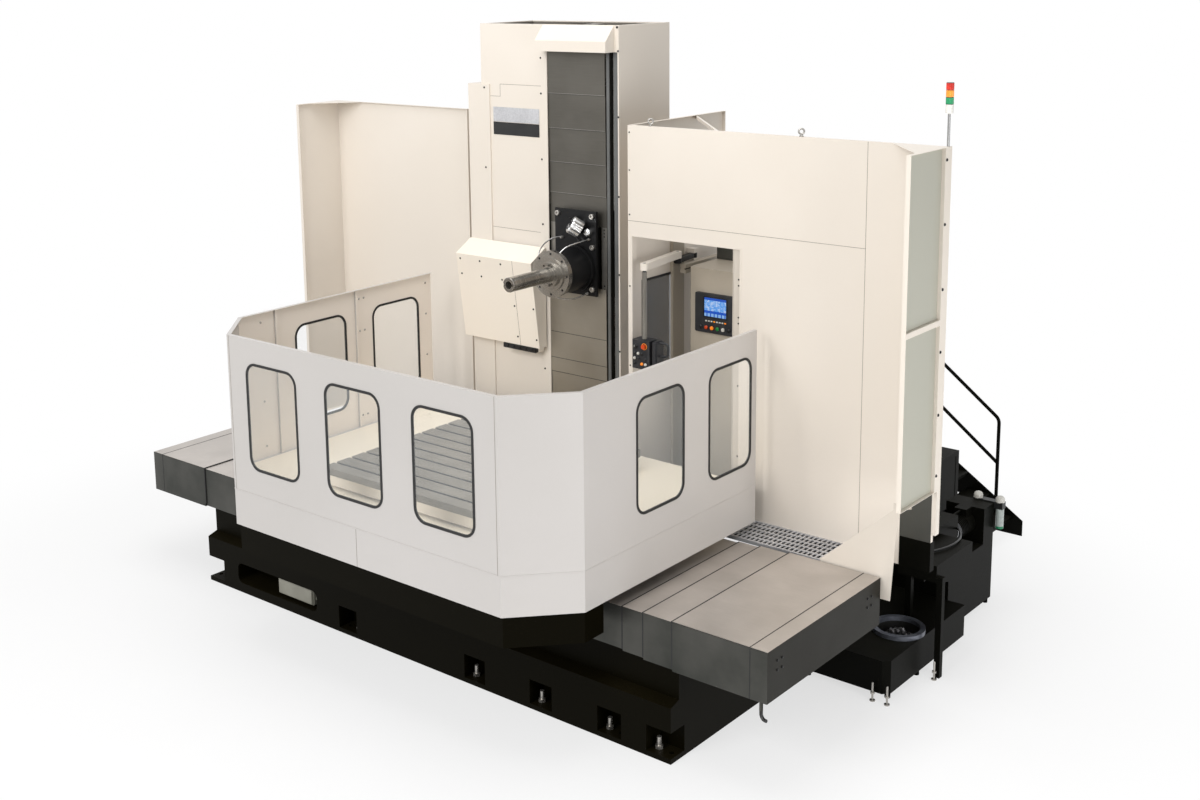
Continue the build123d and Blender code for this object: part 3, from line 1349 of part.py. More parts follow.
# Coolant tank on feet with a low sump in front, whose lid has a round hole for the chip drum.
with BuildPart() as coolant_tank:
    block((tank_left, tank_right), (tank_front, tank_rear), (tank_foot_height, tank_top))
    sump_plan = [(sump_left, sump_front), (sump_right - sump_corner, sump_front)]
    sump_plan += [(sump_right, sump_front + sump_corner), (sump_right, tank_front), (sump_left, tank_front)]
    prism(sump_plan, Plane.XY.offset(tank_foot_height), sump_top - tank_foot_height)
    inner_x = (tank_left + tank_sheet, tank_right - tank_sheet)
    inner_y = (tank_front + tank_sheet, tank_rear - tank_sheet)
    floor_z = tank_foot_height + tank_sheet
    block(inner_x, inner_y, (floor_z, tank_top - tank_sheet), Mode.SUBTRACT)
    sump_x = (sump_left + tank_sheet, sump_right - sump_corner)
    sump_y = (sump_front + tank_sheet, tank_front - tank_sheet)
    block(sump_x, sump_y, (floor_z, sump_top - tank_sheet), Mode.SUBTRACT)
    with BuildSketch(Plane.XY.offset(sump_top)) as drum_hole:
        with Locations((bin_x, bin_y)):
            Circle(bin_radius + bin_clearance)
    extrude(drum_hole.sketch, amount=-bin_depth, mode=Mode.SUBTRACT)
    feet = [(x, y) for x in (tank_left + tank_foot, tank_right - tank_foot) for y in inner_y]
    feet.append((sump_left + tank_foot, sump_front + tank_foot))
    feet += [(sump_right - tank_foot, y) for y in (sump_front + 2 * tank_foot, bin_y)]
    for foot_x, foot_y in feet:
        rod((foot_x, foot_y, 0), (0, 0, 1), tank_foot, tank_foot_height)
save(coolant_tank, "coolant_tank")

# Chip conveyor: head box with a curved nose on the tank, a chute over the drum with two legs, the
# stand of its gearmotor at the tank's rear, and the trough that comes from the bed.
with BuildPart() as chip_conveyor:
    nose_height = head_box_nose_share * (head_box_top - tank_top)
    with BuildSketch(Plane.YZ.offset(head_box_left)) as box_side:
        with BuildLine():
            Line((head_box_front, tank_top), (head_box_front, head_box_top - nose_height))
            RadiusArc(
                (head_box_front, head_box_top - nose_height),
                (head_box_front + nose_height, head_box_top),
                nose_height,
            )
            Line((head_box_front + nose_height, head_box_top), (head_box_rear, head_box_top))
            Line((head_box_rear, head_box_top), (head_box_rear, tank_top))
            Line((head_box_rear, tank_top), (head_box_front, tank_top))
        make_face()
    extrude(box_side.sketch, amount=head_box_right - head_box_left)
    chute = [(chute_rear, chute_top), (chute_front, chute_top), (chute_front, chute_mouth)]
    chute += [(chute_rear, tank_top)]
    prism(chute, Plane.YZ.offset(chute_left), chute_right - chute_left)
    mouth_y = (chute_front + tank_sheet, chute_front + chute_mouth_length)
    mouth_x = (chute_left + tank_sheet, chute_right - tank_sheet)
    block(mouth_x, mouth_y, (tank_top, chute_top - tank_sheet), Mode.SUBTRACT)
    leg_top = chute_mouth + chute_leg
    front_leg_y = (chute_front, chute_front + chute_leg)
    block((chute_right, chute_right + chute_leg), front_leg_y, (0, leg_top))
    rear_leg_y = (mouth_y[1], mouth_y[1] + chute_leg)
    block((chute_left - chute_leg, chute_left), rear_leg_y, (sump_top, leg_top))
    block((stand_left, tank_right), (stand_front, tank_rear), (tank_top, stand_top))
    trough_x = (trough_left, trough_right)
    block(trough_x, (bed_half_width, tank_front), (trough_bottom, trough_top))
    trough_inner = (trough_left + tank_sheet, trough_right - tank_sheet)
    inner_z = (trough_bottom + tank_sheet, trough_top + overrun)
    block(trough_inner, (bed_half_width - overrun, tank_front - tank_sheet), inner_z, Mode.SUBTRACT)
save(chip_conveyor, "chip_conveyor")

# Gearmotor of the conveyor, flange-mounted on the front of its stand, with its lead to the head box.
with BuildPart() as conveyor_motor:
    forward = (0, -1, 0)
    rod((gearmotor_x, stand_front, gearmotor_z), forward, gearmotor_diameter, gearmotor_box)
    fin_pitch = (gearmotor_length - gearmotor_box) / gearmotor_fins
    for fin in range(gearmotor_fins):
        fin_start = (gearmotor_x, stand_front - gearmotor_box - fin * fin_pitch, gearmotor_z)
        rod(fin_start, forward, gearmotor_core_share * gearmotor_diameter, fin_pitch)
        rod(fin_start, forward, gearmotor_diameter, fin_pitch / 2)
    box_x = (gearmotor_x - gearmotor_box / 2, gearmotor_x + gearmotor_box / 2)
    box_z = (gearmotor_z + gearmotor_diameter / 4, stand_top)
    block(box_x, (stand_front - gearmotor_box, stand_front), box_z)
    lead_start = (gearmotor_x, stand_front - gearmotor_box, stand_top - cable_diameter)
    rod(lead_start, forward, cable_diameter, stand_front - gearmotor_box - head_box_rear)
save(conveyor_motor, "conveyor_motor")

# Chip drum: it hangs in the sump's lid by its rolled rim.
with BuildPart() as chip_bin:
    bin_floor = sump_top - bin_depth
    rim_radius = bin_radius + bin_rim
    drum = [(0, bin_floor), (bin_radius, bin_floor), (bin_radius, sump_top), (rim_radius, sump_top)]
    drum += [(rim_radius, sump_top + bin_rim), (bin_radius - bin_sheet, sump_top + bin_rim)]
    drum += [(bin_radius - bin_sheet, bin_floor + bin_sheet), (0, bin_floor + bin_sheet)]
    drum_plane = Plane(origin=(bin_x, bin_y, 0), x_dir=(1, 0, 0), z_dir=(0, -1, 0))
    revolve(outline(drum, drum_plane), axis=Axis((bin_x, bin_y, 0), (0, 0, 1)))
save(chip_bin, "chip_bin")

# Air service unit: filter heads with clear bowls on the rear of the gearmotor's stand.
with BuildPart() as air_service_unit:
    bowl_y = tank_rear + bowl_diameter / 2
    for bowl in range(bowl_count):
        bowl_x = tank_right + bowl_overhang - bowl * bowl_pitch
        rod((bowl_x, bowl_y, bowl_base), (0, 0, 1), bowl_diameter, bowl_height)
    first_x = tank_right + bowl_overhang - (bowl_count - 1) * bowl_pitch
    bar_x = (first_x - bowl_diameter / 2, tank_right + bowl_overhang + bowl_diameter / 2)
    bar_z = (bowl_base + bowl_height, bowl_base + bowl_height + bowl_head_height)
    block(bar_x, (tank_rear, tank_rear + bowl_diameter), bar_z)
save(air_service_unit, "air_service_unit")
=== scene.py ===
# %% [markdown]
# A table-type horizontal boring machine, dressed for a studio picture. The solids come from the
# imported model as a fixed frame, in metres, with +Z up and the spindle pointing along -Y. This
# lesson gives every solid a finish and adds the small pieces that a fitter would screw on.

import math
import random

import bmesh
import bpy
from mathutils import Matrix, Vector


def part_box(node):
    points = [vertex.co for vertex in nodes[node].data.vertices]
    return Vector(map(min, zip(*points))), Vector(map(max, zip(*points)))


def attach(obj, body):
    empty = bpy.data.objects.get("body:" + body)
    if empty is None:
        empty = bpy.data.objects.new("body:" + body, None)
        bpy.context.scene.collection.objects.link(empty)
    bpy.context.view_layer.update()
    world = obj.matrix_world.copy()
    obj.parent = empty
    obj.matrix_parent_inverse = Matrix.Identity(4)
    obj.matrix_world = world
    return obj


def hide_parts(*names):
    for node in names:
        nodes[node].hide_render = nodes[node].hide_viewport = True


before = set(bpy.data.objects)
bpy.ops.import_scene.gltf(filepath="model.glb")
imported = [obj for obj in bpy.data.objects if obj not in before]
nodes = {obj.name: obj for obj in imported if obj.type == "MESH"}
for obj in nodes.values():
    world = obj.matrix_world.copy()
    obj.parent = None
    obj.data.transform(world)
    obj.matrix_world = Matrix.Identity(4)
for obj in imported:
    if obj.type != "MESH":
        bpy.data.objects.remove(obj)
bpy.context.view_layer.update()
mm = 0.001
random.seed(7)


# %% [markdown]
# A finish is a small network of shader nodes. Written as nodes it soon becomes hard to read, so a
# socket is wrapped in a class that knows sums: the expression 1 - mask then adds the Math node by
# itself. Everything that isn't a sum comes from one method that takes a node's type, its settings
# and what its sockets get.

# %% Shader sums
class Value:
    """A socket that can stand in a sum."""

    def __init__(self, network, socket):
        self.network = network
        self.socket = socket

    def _sum(self, operation, first, second):
        settings = {"operation": operation}
        return self.network.node("ShaderNodeMath", settings, {0: first, 1: second})

    def __add__(self, other):
        return self._sum("ADD", self, other)

    def __sub__(self, other):
        return self._sum("SUBTRACT", self, other)

    def __rsub__(self, other):
        return self._sum("SUBTRACT", other, self)

    def __mul__(self, other):
        return self._sum("MULTIPLY", self, other)

    def above(self, edge):
        return self._sum("GREATER_THAN", self, edge)

    def larger(self, other):
        return self._sum("MAXIMUM", self, other)

    def wave(self, turns):
        """A wave between 0 and 1 that repeats a number of times per unit."""
        return self._sum("SINE", self * (2 * math.pi * turns), 0) * 0.5 + 0.5

    __radd__ = __add__
    __rmul__ = __mul__


print("sums ready")


# %% [markdown]
# Nodes could be laid out by hand in the shader editor, but a script can be read and run again. One
# class makes and joins the nodes of any tree, so the studio's surround can use it too. A finish
# adds a Principled surface to that, and keeps a slot name.

# %% Node networks and finishes
class Network:
    """A node tree whose nodes all come from one method."""

    def __init__(self, tree):
        self.tree = tree

    def node(self, kind, settings=None, inputs=None, output=0):
        made = self.tree.nodes.new(kind)
        for key, setting in (settings or {}).items():
            setattr(made, key, setting)
        for key, given in (inputs or {}).items():
            self.feed(made.inputs[key], given)
        return Value(self, made.outputs[output])

    def feed(self, socket, given):
        if isinstance(given, Value):
            self.tree.links.new(given.socket, socket)
        else:
            socket.default_value = given

    def vector(self, operation, first, second=(0, 0, 0), output=0):
        inputs = {0: first, 1: second}
        return self.node("ShaderNodeVectorMath", {"operation": operation}, inputs, output)

    def seen(self):
        """1 for the rays that should meet a white surround: camera, glossy and see-through rays."""
        names = ("Is Camera Ray", "Is Glossy Ray", "Is Transmission Ray")
        camera_ray, glossy, through = [self.node("ShaderNodeLightPath", output=name) for name in names]
        return camera_ray.larger(glossy).larger(through)


class Finish(Network):
    """A material with one Principled surface."""

    def __init__(self, name, slot):
        self.material = bpy.data.materials.new(name)
        self.material.use_nodes = True
        self.slot = slot
        super().__init__(self.material.node_tree)
        self.surface = self.tree.nodes["Principled BSDF"]

    def set(self, **inputs):
        for name, given in inputs.items():
            words = name.replace("_", " ").title().replace("Ior", "IOR")
            self.feed(self.surface.inputs[words], given)
        return self

    def place(self, stretch=(1, 1, 1)):
        """The point on the object, in metres, stretched along each axis."""
        point = self.node("ShaderNodeTexCoord", output="Object")
        return self.vector("MULTIPLY", point, stretch)

    def noise(self, scale, detail=3.0, stretch=(1, 1, 1)):
        inputs = {"Vector": self.place(stretch), "Scale": scale, "Detail": detail}
        return self.node("ShaderNodeTexNoise", None, inputs)

    def axis(self, number):
        """One part of the place: 0 is X, 1 is Y and 2 is Z."""
        return self.node("ShaderNodeSeparateXYZ", None, {0: self.place()}, number)

    def facing(self, number):
        """How far a face looks along an axis, from -1 to 1."""
        normal = self.node("ShaderNodeNewGeometry", output="Normal")
        return self.node("ShaderNodeSeparateXYZ", None, {0: normal}, number)

    def mix(self, factor, first, second):
        inputs = {0: factor, 6: first, 7: second}
        return self.node("ShaderNodeMix", {"data_type": "RGBA"}, inputs, 2)

    def soft_step(self, value, low, high):
        settings = {"interpolation_type": "SMOOTHSTEP"}
        inputs = {"Value": value, "From Min": low, "From Max": high}
        return self.node("ShaderNodeMapRange", settings, inputs)

    def bump(self, height, strength, depth):
        inputs = {"Height": height, "Strength": strength, "Distance": depth}
        self.set(normal=self.node("ShaderNodeBump", None, inputs))
        return self


def rgb(red, green, blue):
    """A colour as a painter reads it, 0 to 255, turned into linear light."""
    shares = [part / 255 for part in (red, green, blue)]
    return (*[s / 12.92 if s <= 0.04045 else ((s + 0.055) / 1.055) ** 2.4 for s in shares], 1)


print("shader words ready")


# %% [markdown]
# Powder coat covers all the sheet metal. Up close it has a faint orange peel, and on large panels
# its tone drifts a little. A single colour would look like plastic, so a broad noise with a trace
# of a finer one moves the colour and the gloss, and a very fine one lifts the surface. The guard's
# pan and left panel are lined with cream sheet, which is picked by the way the face looks.

# %% Powder coats
def powder_coat(name, slot, colour, shade, gloss=0.40, drift=0.35, liner=None, liner_way=2):
    finish = Finish(name, slot)
    cloud = finish.noise(drift, 4)
    speck = finish.noise(38, 2)
    tint = finish.mix(finish.soft_step(cloud * 0.94 + speck * 0.06, 0.3, 0.75), shade, colour)
    if liner:
        tint = finish.mix(finish.soft_step(finish.facing(liner_way), 0.6, 0.9), tint, liner)
    finish.set(base_color=tint)
    finish.set(roughness=gloss + (cloud - 0.5) * 0.16 + (speck - 0.5) * 0.02)
    return finish.bump(finish.noise(240, 2), 0.03, 0.1 * mm)


def sheet_coat(name, colour, shade):
    return powder_coat(name, "cream_sheet", colour, shade)


def guard_coat(name, *lining):
    return powder_coat(name, "guard_white", rgb(198, 194, 191), rgb(190, 186, 182), 0.30, 0.35, *lining)


cream = sheet_coat("cream_powder_coat", rgb(234, 226, 216), rgb(225, 216, 204))
# A lighter copy of the cream: painted light on the tool arm's housing, whose front leans back.
arm_lit_cream = sheet_coat("tool_arm_lit_cream", rgb(249, 240, 227), rgb(241, 231, 217))
# A darker copy of the cream: painted shade on the apron and on the door's stop strip.
apron_shaded_cream = sheet_coat("apron_shaded_cream", rgb(212, 204, 193), rgb(204, 195, 183))
white = guard_coat("guard_powder_coat")
guard_pan = guard_coat("guard_pan_coat", rgb(244, 234, 214))
guard_lined = guard_coat("guard_lined_coat", rgb(246, 236, 225), 0)
satin_black = powder_coat("satin_black_paint", "black_housing", rgb(32, 32, 33), rgb(24, 24, 25), 0.34, 3.0)
satin_black.set(specular_ior_level=0.2)
# A darker copy of the cream: painted shade on the cabinet and the fittings inside the booth.
shaded_cream = sheet_coat("booth_inner_shaded_cream", rgb(186, 176, 160), rgb(170, 160, 145))
# A darker, cooler copy of the cream: painted shade on the panels in the right return's recess.
recess_shade_green = sheet_coat("recess_shaded_coat", rgb(182, 181, 167), rgb(172, 171, 158))
# A dark grey: painted shade where it is the sheet below the right return, and the cable duct's own colour.
shade_and_duct_grey = sheet_coat("shade_plate_and_duct_grey", rgb(74, 74, 69), rgb(64, 64, 60))
print("powder coats made")


# %% [markdown]
# The castings carry a thick olive-black paint. It is glossy where it is clean, and dust settles on
# the faces that look up, so the normal's upward part decides where the dust shows.

# %% Machine paint
def machine_paint(name, slot, colour, dust, gloss=0.42, dusty=0.5):
    finish = Finish(name, slot)
    cloud = finish.noise(2.2, 5)
    fine = finish.noise(90, 3)
    lying = finish.soft_step(finish.facing(2), 0.3, 0.95)
    dirt = lying * dusty * cloud + finish.soft_step(fine * cloud, 0.32, 0.5) * 0.12
    finish.set(base_color=finish.mix(dirt, colour, dust), specular_ior_level=0.035)
    finish.set(roughness=gloss + dirt * 0.4 + (fine - 0.5) * 0.1)
    return finish.bump(fine + cloud, 0.18, 1.2 * mm)


olive = machine_paint("olive_black_paint", "olive_black_paint", rgb(10, 8, 2), rgb(38, 33, 20))
charcoal = machine_paint("tank_paint", "tank_paint", rgb(11, 11, 8), rgb(34, 33, 27), 0.40)
raw_grey, raw_dust = rgb(118, 113, 105), rgb(54, 50, 44)
casting_grey = machine_paint("casting_grey", "olive_black_paint", raw_grey, raw_dust, 0.5, 0.9)
print("machine paints made")


# %% [markdown]
# The covers are ground stainless sheet. Grinding leaves fine lines along the way the sheet slides.
# The lines are a noise that is squeezed across and stretched along the slide, which keeps its grain
# at any distance. On the covers the faces that don't look up get a dark colour, which is painted
# shade, and the faces that look along +X a darker one, also painted shade. The way plates below the
# spindle's height are painted lighter than those above: painted light where the guard and the head
# shade them.

# %% Steels
def ground_steel(name, slot, bright, dark, stretch, gloss=0.34, painted_side_shade=None, metal=0.85, worn_below=None):
    finish = Finish(name, slot)
    lines = finish.noise(1.0, 4, stretch)
    cloud = finish.noise(2.4, 4)
    colour = finish.mix(finish.soft_step(lines * 0.4 + cloud * 0.6, 0.25, 0.75), dark, bright)
    if painted_side_shade:
        # Painted shade: on the covers the faces that don't look up are darkened towards the side colour.
        upright = 1 - finish.soft_step(finish.facing(2), 0.2, 0.8)
        colour = finish.mix(upright * (0.8 + cloud * 0.25), colour, painted_side_shade)
        # Painted shade: faces that look along +X, the covers' end faces, are darkened further.
        colour = finish.mix(finish.soft_step(finish.facing(0), 0.6, 0.9), colour, rgb(27, 25, 17))
    # Painted light: below the given height the plates are made lighter.
    if worn_below:
        worn = finish.mix(cloud, rgb(136, 130, 120), rgb(166, 160, 149))
        colour = finish.mix(finish.axis(2).above(worn_below), worn, colour)
    finish.set(base_color=colour, metallic=metal)
    finish.set(roughness=gloss + (lines - 0.5) * 0.22 + (cloud - 0.5) * 0.18)
    return finish.bump(lines, 0.06, 0.3 * mm)


def plate_sheet(name, bright, dark, *grain, **wear):
    return ground_steel(name, "plate_steel", rgb(*bright), rgb(*dark), *grain, **wear)


axis_z = 2.925
along_x, along_y, along_z, all_ways = (6, 380, 380), (380, 6, 380), (260, 260, 5), (60, 60, 60)
cover_pale, cover_dark, cover_side_shade = rgb(206, 199, 193), rgb(180, 174, 168), rgb(45, 48, 44)
cover_steel = ground_steel("cover_steel", "cover_steel", cover_pale, cover_dark, along_x, 0.42, cover_side_shade)
way_pale, way_dark = (104, 101, 95), (88, 85, 79)
plate_steel = plate_sheet("way_plate_steel", way_pale, way_dark, along_x, 0.48)
# These plates are painted lighter below the spindle's height, which is painted light.
plate_painted_light = plate_sheet("plate_painted_light_steel", way_pale, way_dark, along_x, 0.46, worn_below=axis_z)
guide_steel = plate_sheet("guide_bar_steel", (112, 113, 112), (92, 93, 92), along_z, 0.5, None, 0.35)
# This pale steel is the conduit's and the head's side strips' own colour; on the way plates' folded edges it
# is a painted highlight.
pale_steel_and_highlight = plate_sheet("plate_fold_steel", (150, 147, 140), (128, 124, 118), along_x, 0.4)
turned_pale, turned_dark = rgb(196, 192, 186), rgb(150, 147, 142)
turned_steel = ground_steel("turned_steel", "machined_steel", turned_pale, turned_dark, along_y, 0.28)
chrome_pale, chrome_dark = rgb(236, 236, 236), rgb(205, 205, 205)
chrome = ground_steel("polished_chrome", "bright_chrome", chrome_pale, chrome_dark, all_ways, 0.10)
# This zinc also makes the pale strip on the covers' front edge and the rings on the motor's cowl, where it is
# a painted highlight.
zinc_and_highlight = plate_sheet("zinc_and_highlight_grating", (214, 214, 216), (176, 176, 179), all_ways, 0.45, None, 0.7)
print("steels made")

# %% [markdown]
# The spindle and its rings come off a lathe, so their marks are circles round the spindle's axis.
# The distance from the axis and the place along it feed one noise, which gives rings on the faces
# and fine lines round the shafts.

# %% Lathe finish
lathe = Finish("spindle_steel", "machined_steel")
reach = lathe.vector("LENGTH", lathe.vector("SUBTRACT", lathe.place((1, 0, 1)), (0, 0, axis_z)), output=1)
lathe_place = lathe.node("ShaderNodeCombineXYZ", None, {0: reach * 420, 1: lathe.axis(1) * 160})
cut = lathe.node("ShaderNodeTexNoise", None, {"Vector": lathe_place, "Scale": 1.0, "Detail": 3.0})
tone = lathe.soft_step(cut * 0.85 + lathe.noise(14, 3) * 0.15, 0.3, 0.7)
lathe.set(base_color=lathe.mix(tone, rgb(122, 119, 114), rgb(194, 190, 183)), metallic=0.9)
lathe.set(roughness=0.16 + cut * 0.14).bump(cut, 0.05, 0.2 * mm)
print("lathe marks round height", axis_z)

# %% [markdown]
# The table is one iron casting with two finishes: the top and a band round its rim are planed, and
# the sides under the band are painted like the walls. The height on the object tells them apart,
# so that no face has to be picked by hand. Old workpieces leave faint stains on the top, and the
# faces inside the slots are coloured near black.

# %% Table finish
table_low, table_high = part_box("rotary_table")
planed_band, slot_rim, slot_skin = 0.06, 0.02, 0.003
iron = Finish("table_iron", "cast_iron")
stain = iron.noise(3.0, 5)
scratch = iron.noise(1.0, 4, along_x)
planed = iron.axis(2).above(table_high.z - planed_band)
tone = iron.soft_step(stain * 0.5 + scratch * 0.5, 0.32, 0.7)
iron_colour = iron.mix(tone, rgb(106, 102, 94), rgb(148, 143, 134))
sunk = 1 - iron.axis(2).above(table_high.z - slot_skin)
for number in (0, 1):
    place = iron.axis(number)
    sunk = sunk * place.above(table_low[number] + slot_rim)
    sunk = sunk * (1 - place.above(table_high[number] - slot_rim))
iron_colour = iron.mix(sunk, iron_colour, rgb(30, 29, 26))
iron.set(base_color=iron.mix(planed, rgb(232, 223, 208), iron_colour))
iron.set(metallic=planed * 0.75, roughness=0.42 + (stain - 0.5) * 0.25)
iron.bump(scratch, 0.08, 0.4 * mm)
print("table planed above", round(table_high.z - planed_band, 3))


# %% [markdown]
# Rubber, clear sheet and moulded plastic finish the list. The panes are nearly invisible in the
# picture, so they are a thin see-through surface with a clean gloss instead of thick glass.

# %% Rubber, panes and plastics
def plastic(name, slot, colour, shade, gloss=0.4, lift=0.12, glow=0.0):
    finish = Finish(name, slot)
    cloud = finish.noise(9, 3)
    tint = finish.mix(finish.soft_step(cloud, 0.35, 0.7), shade, colour)
    finish.set(base_color=tint, roughness=gloss + (cloud - 0.5) * 0.15)
    if glow:
        finish.set(emission_color=tint, emission_strength=glow)
    return finish.bump(finish.noise(600, 2), lift, 0.3 * mm)


def clear_pane(name, tint, alpha):
    finish = Finish(name, "clear_pane")
    smear = finish.noise(3.0, 4)
    return finish.set(base_color=tint, roughness=0.04 + smear * 0.08, alpha=alpha + smear * 0.05)


def control_plastic(name, colour, shade, *look):
    return plastic(name, "control_black", rgb(*colour), rgb(*shade), *look)


# This rubber also makes the dark sheet under the grating, where it is painted shade.
rubber_and_shade = plastic("seal_rubber_and_shade", "gasket_rubber", rgb(24, 24, 24), rgb(17, 17, 17), 0.6)
moulded = control_plastic("control_moulding", (44, 45, 48), (34, 35, 38), 0.45)
stop_red = plastic("stop_red", "estop_red", rgb(224, 84, 24), rgb(200, 60, 15), 0.28)
pane = clear_pane("clear_pane", rgb(236, 240, 240), 0.08)
# The booth window's blue-grey, half see-through tint is a painted reflection over the shaded room behind it.
booth_pane = clear_pane("booth_pane", rgb(96, 104, 112), 0.50)
seam_shadow = plastic("seam_shadow", "cream_sheet", rgb(128, 118, 105), rgb(110, 101, 90), 0.7)
# This black also makes the dark strips at the way plates' edges, where it is a painted shadow.
black_plastic_and_shadow = control_plastic("black_plastic_and_shadow", (22, 22, 23), (14, 14, 15), 0.35)
key_white = control_plastic("key_white", (222, 220, 214), (200, 198, 190), 0.35)
key_green = control_plastic("key_green", (40, 150, 70), (25, 120, 50), 0.3)
# The amber plastic glows: on the panel's small amber lamps that is their own light, on the caps, the pendant
# button and the stop collar it is painted light.
key_amber = control_plastic("key_amber", (240, 150, 40), (225, 120, 20), 0.3, 0.1, 0.5)
print("plastics made")

# %% [markdown]
# Three pieces change colour with height. The signal tower is a steel pole with a white foot for its
# lamps, each air filter is a grey head over a clear bowl whose drain plug is green, and the chip drum
# is black below its rim, where a pale blue-grey band is a painted highlight. As on the table, the
# height on the object picks the colour.

# %% Finishes that change with height
tower = Finish("tower_finish", "tank_paint")
lamp_foot = tower.axis(2).above(4.515)
grain = tower.noise(1.0, 3, along_z)
pole_colour = tower.mix(grain, rgb(120, 120, 120), rgb(165, 165, 165))
tower.set(base_color=tower.mix(lamp_foot, pole_colour, rgb(226, 224, 218)))
tower.set(metallic=0.8 - lamp_foot * 0.8, roughness=0.35 + grain * 0.1)

filter_low, filter_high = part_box("air_service_unit")
plug_height, bowl_height, drum_rim = 0.022, 0.18, 0.036
bowl = Finish("filter_finish", "service_plastic")
streak = bowl.noise(40, 3)
bowl_colour = bowl.mix(streak, rgb(150, 160, 156), rgb(200, 208, 204))
plug = 1 - bowl.axis(2).above(filter_low.z + plug_height)
head = bowl.axis(2).above(filter_low.z + bowl_height)
bowl_colour = bowl.mix(plug, bowl_colour, rgb(40, 130, 90))
bowl.set(base_color=bowl.mix(head, bowl_colour, rgb(26, 27, 27)))
bowl.set(roughness=0.15 + head * 0.25 + streak * 0.1)

drum_low, drum_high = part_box("chip_bin")
drum = Finish("drum_finish", "drum_steel")
# The top band of the drum is a pale blue-grey metal: a painted highlight on the rim.
rim = drum.axis(2).above(drum_high.z - drum_rim)
scuff = drum.noise(12, 4)
rim_highlight_colour = drum.mix(scuff, rgb(70, 73, 82), rgb(142, 146, 156))
drum.set(base_color=drum.mix(rim, rgb(26, 26, 24), rim_highlight_colour))
drum.set(metallic=rim * 0.7, roughness=0.34 + scuff * 0.12)
print("filters from", round(filter_low.z, 3), "drum rim at", round(drum_high.z, 3))

# %% [markdown]
# Now each solid gets its finish. The solids keep their places and shapes, because they are the
# machine's real sizes; only the material slot changes. A table from finish to nodes is easy to
# check against the picture.

# %% Finishes of the solids
worn_by = {
    cream: ["booth_walls", "right_return", "left_wing", "column_casing", "boom_arm"],
    white: ["guard_front_panel", "guard_right_panel"],
    guard_lined: ["guard_left_panel"],
    arm_lit_cream: ["tool_arm_housing"],
    apron_shaded_cream: ["apron_plate"],
    guard_pan: ["guard_base"],
    shaded_cream: ["control_cabinet"],
    olive: ["x_bed", "column_bed", "saddle", "chip_pan", "head_slide"],
    casting_grey: ["column_frame"],
    charcoal: ["stairs", "coolant_tank", "chip_conveyor", "conveyor_motor", "operator_deck"],
    satin_black: ["quill_housing", "coolant_nozzle", "boom_link"],
    cover_steel: [name for name in nodes if name.startswith("cover_")],
    plate_steel: ["way_plates_fixed"] + [f"way_plate_upper_{n}" for n in (1, 2, 3)],
    plate_painted_light: ["head_way_plates", "way_plate_lower_1", "way_plate_lower_2"],
    turned_steel: ["levelling_bolts", "head_rails", "table_bearing"],
    lathe: ["nose_ring", "milling_spindle", "boring_spindle"],
    iron: ["rotary_table"],
    zinc_and_highlight: ["walkway_grating"],
    rubber_and_shade: ["window_gaskets"],
    pane: ["window_panes"],
    booth_pane: ["booth_window_pane"],
    moulded: ["operator_panel", "pendant"],
    bowl: ["air_service_unit"],
    drum: ["chip_bin"],
    tower: ["signal_tower", "signal_lamps"],
    stop_red: ["pendant_estop"],
}
worn_by[turned_steel] += [name for name in nodes if name.endswith("_screw_drive")]
for finish, names in worn_by.items():
    for name in names:
        slots = nodes[name].data.materials
        slots.clear()
        slots.append(finish.material)
dressed = [name for names in worn_by.values() for name in names]
print("dressed", len(dressed), "left", sorted(set(nodes) - set(dressed)))


# %% [markdown]
# Small pieces are built with bmesh, a bare list of points and faces. Four helpers cover most of
# them: a bar with softened edges, a turned piece drawn as a profile, a ring whose points come from
# two angles, and a bent tube, which is a smooth curve with a round section.

# %% Bars and turned pieces
def keep_piece(name, data, finish, body):
    """Put a mesh or a curve in the scene, with its finish and on the body that it moves with."""
    data.materials.append(finish.material)
    piece = bpy.data.objects.new(name, data)
    bpy.context.scene.collection.objects.link(piece)
    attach(piece, body)
    return piece


def finish_piece(name, shape, finish, body, smooth=40):
    """Turn a bmesh into a piece."""
    data = bpy.data.meshes.new(name)
    bmesh.ops.recalc_face_normals(shape, faces=shape.faces)
    shape.to_mesh(data)
    shape.free()
    data.polygons.foreach_set("use_smooth", [True] * len(data.polygons))
    data.set_sharp_from_angle(angle=math.radians(smooth))
    return keep_piece(name, data, finish, body)


def add_bar(shape, low, high, edge=0.0):
    """A bar between two corners, with its edges softened."""
    made = bmesh.ops.create_cube(shape, size=1)["verts"]
    for corner in made:
        corner.co = Vector([low[i] + (corner.co[i] + 0.5) * (high[i] - low[i]) for i in range(3)])
    if edge:
        edges = list({link for corner in made for link in corner.link_edges})
        bmesh.ops.bevel(shape, geom=edges, offset=edge, segments=2, affect="EDGES")


def bar_piece(name, bars, finish, body):
    """A piece made of bars, each given by two corners and the softening of its edges."""
    shape = bmesh.new()
    for bar in bars:
        add_bar(shape, *bar)
    return finish_piece(name, shape, finish, body)


def angles(count):
    return [2 * math.pi * step / count for step in range(count)]


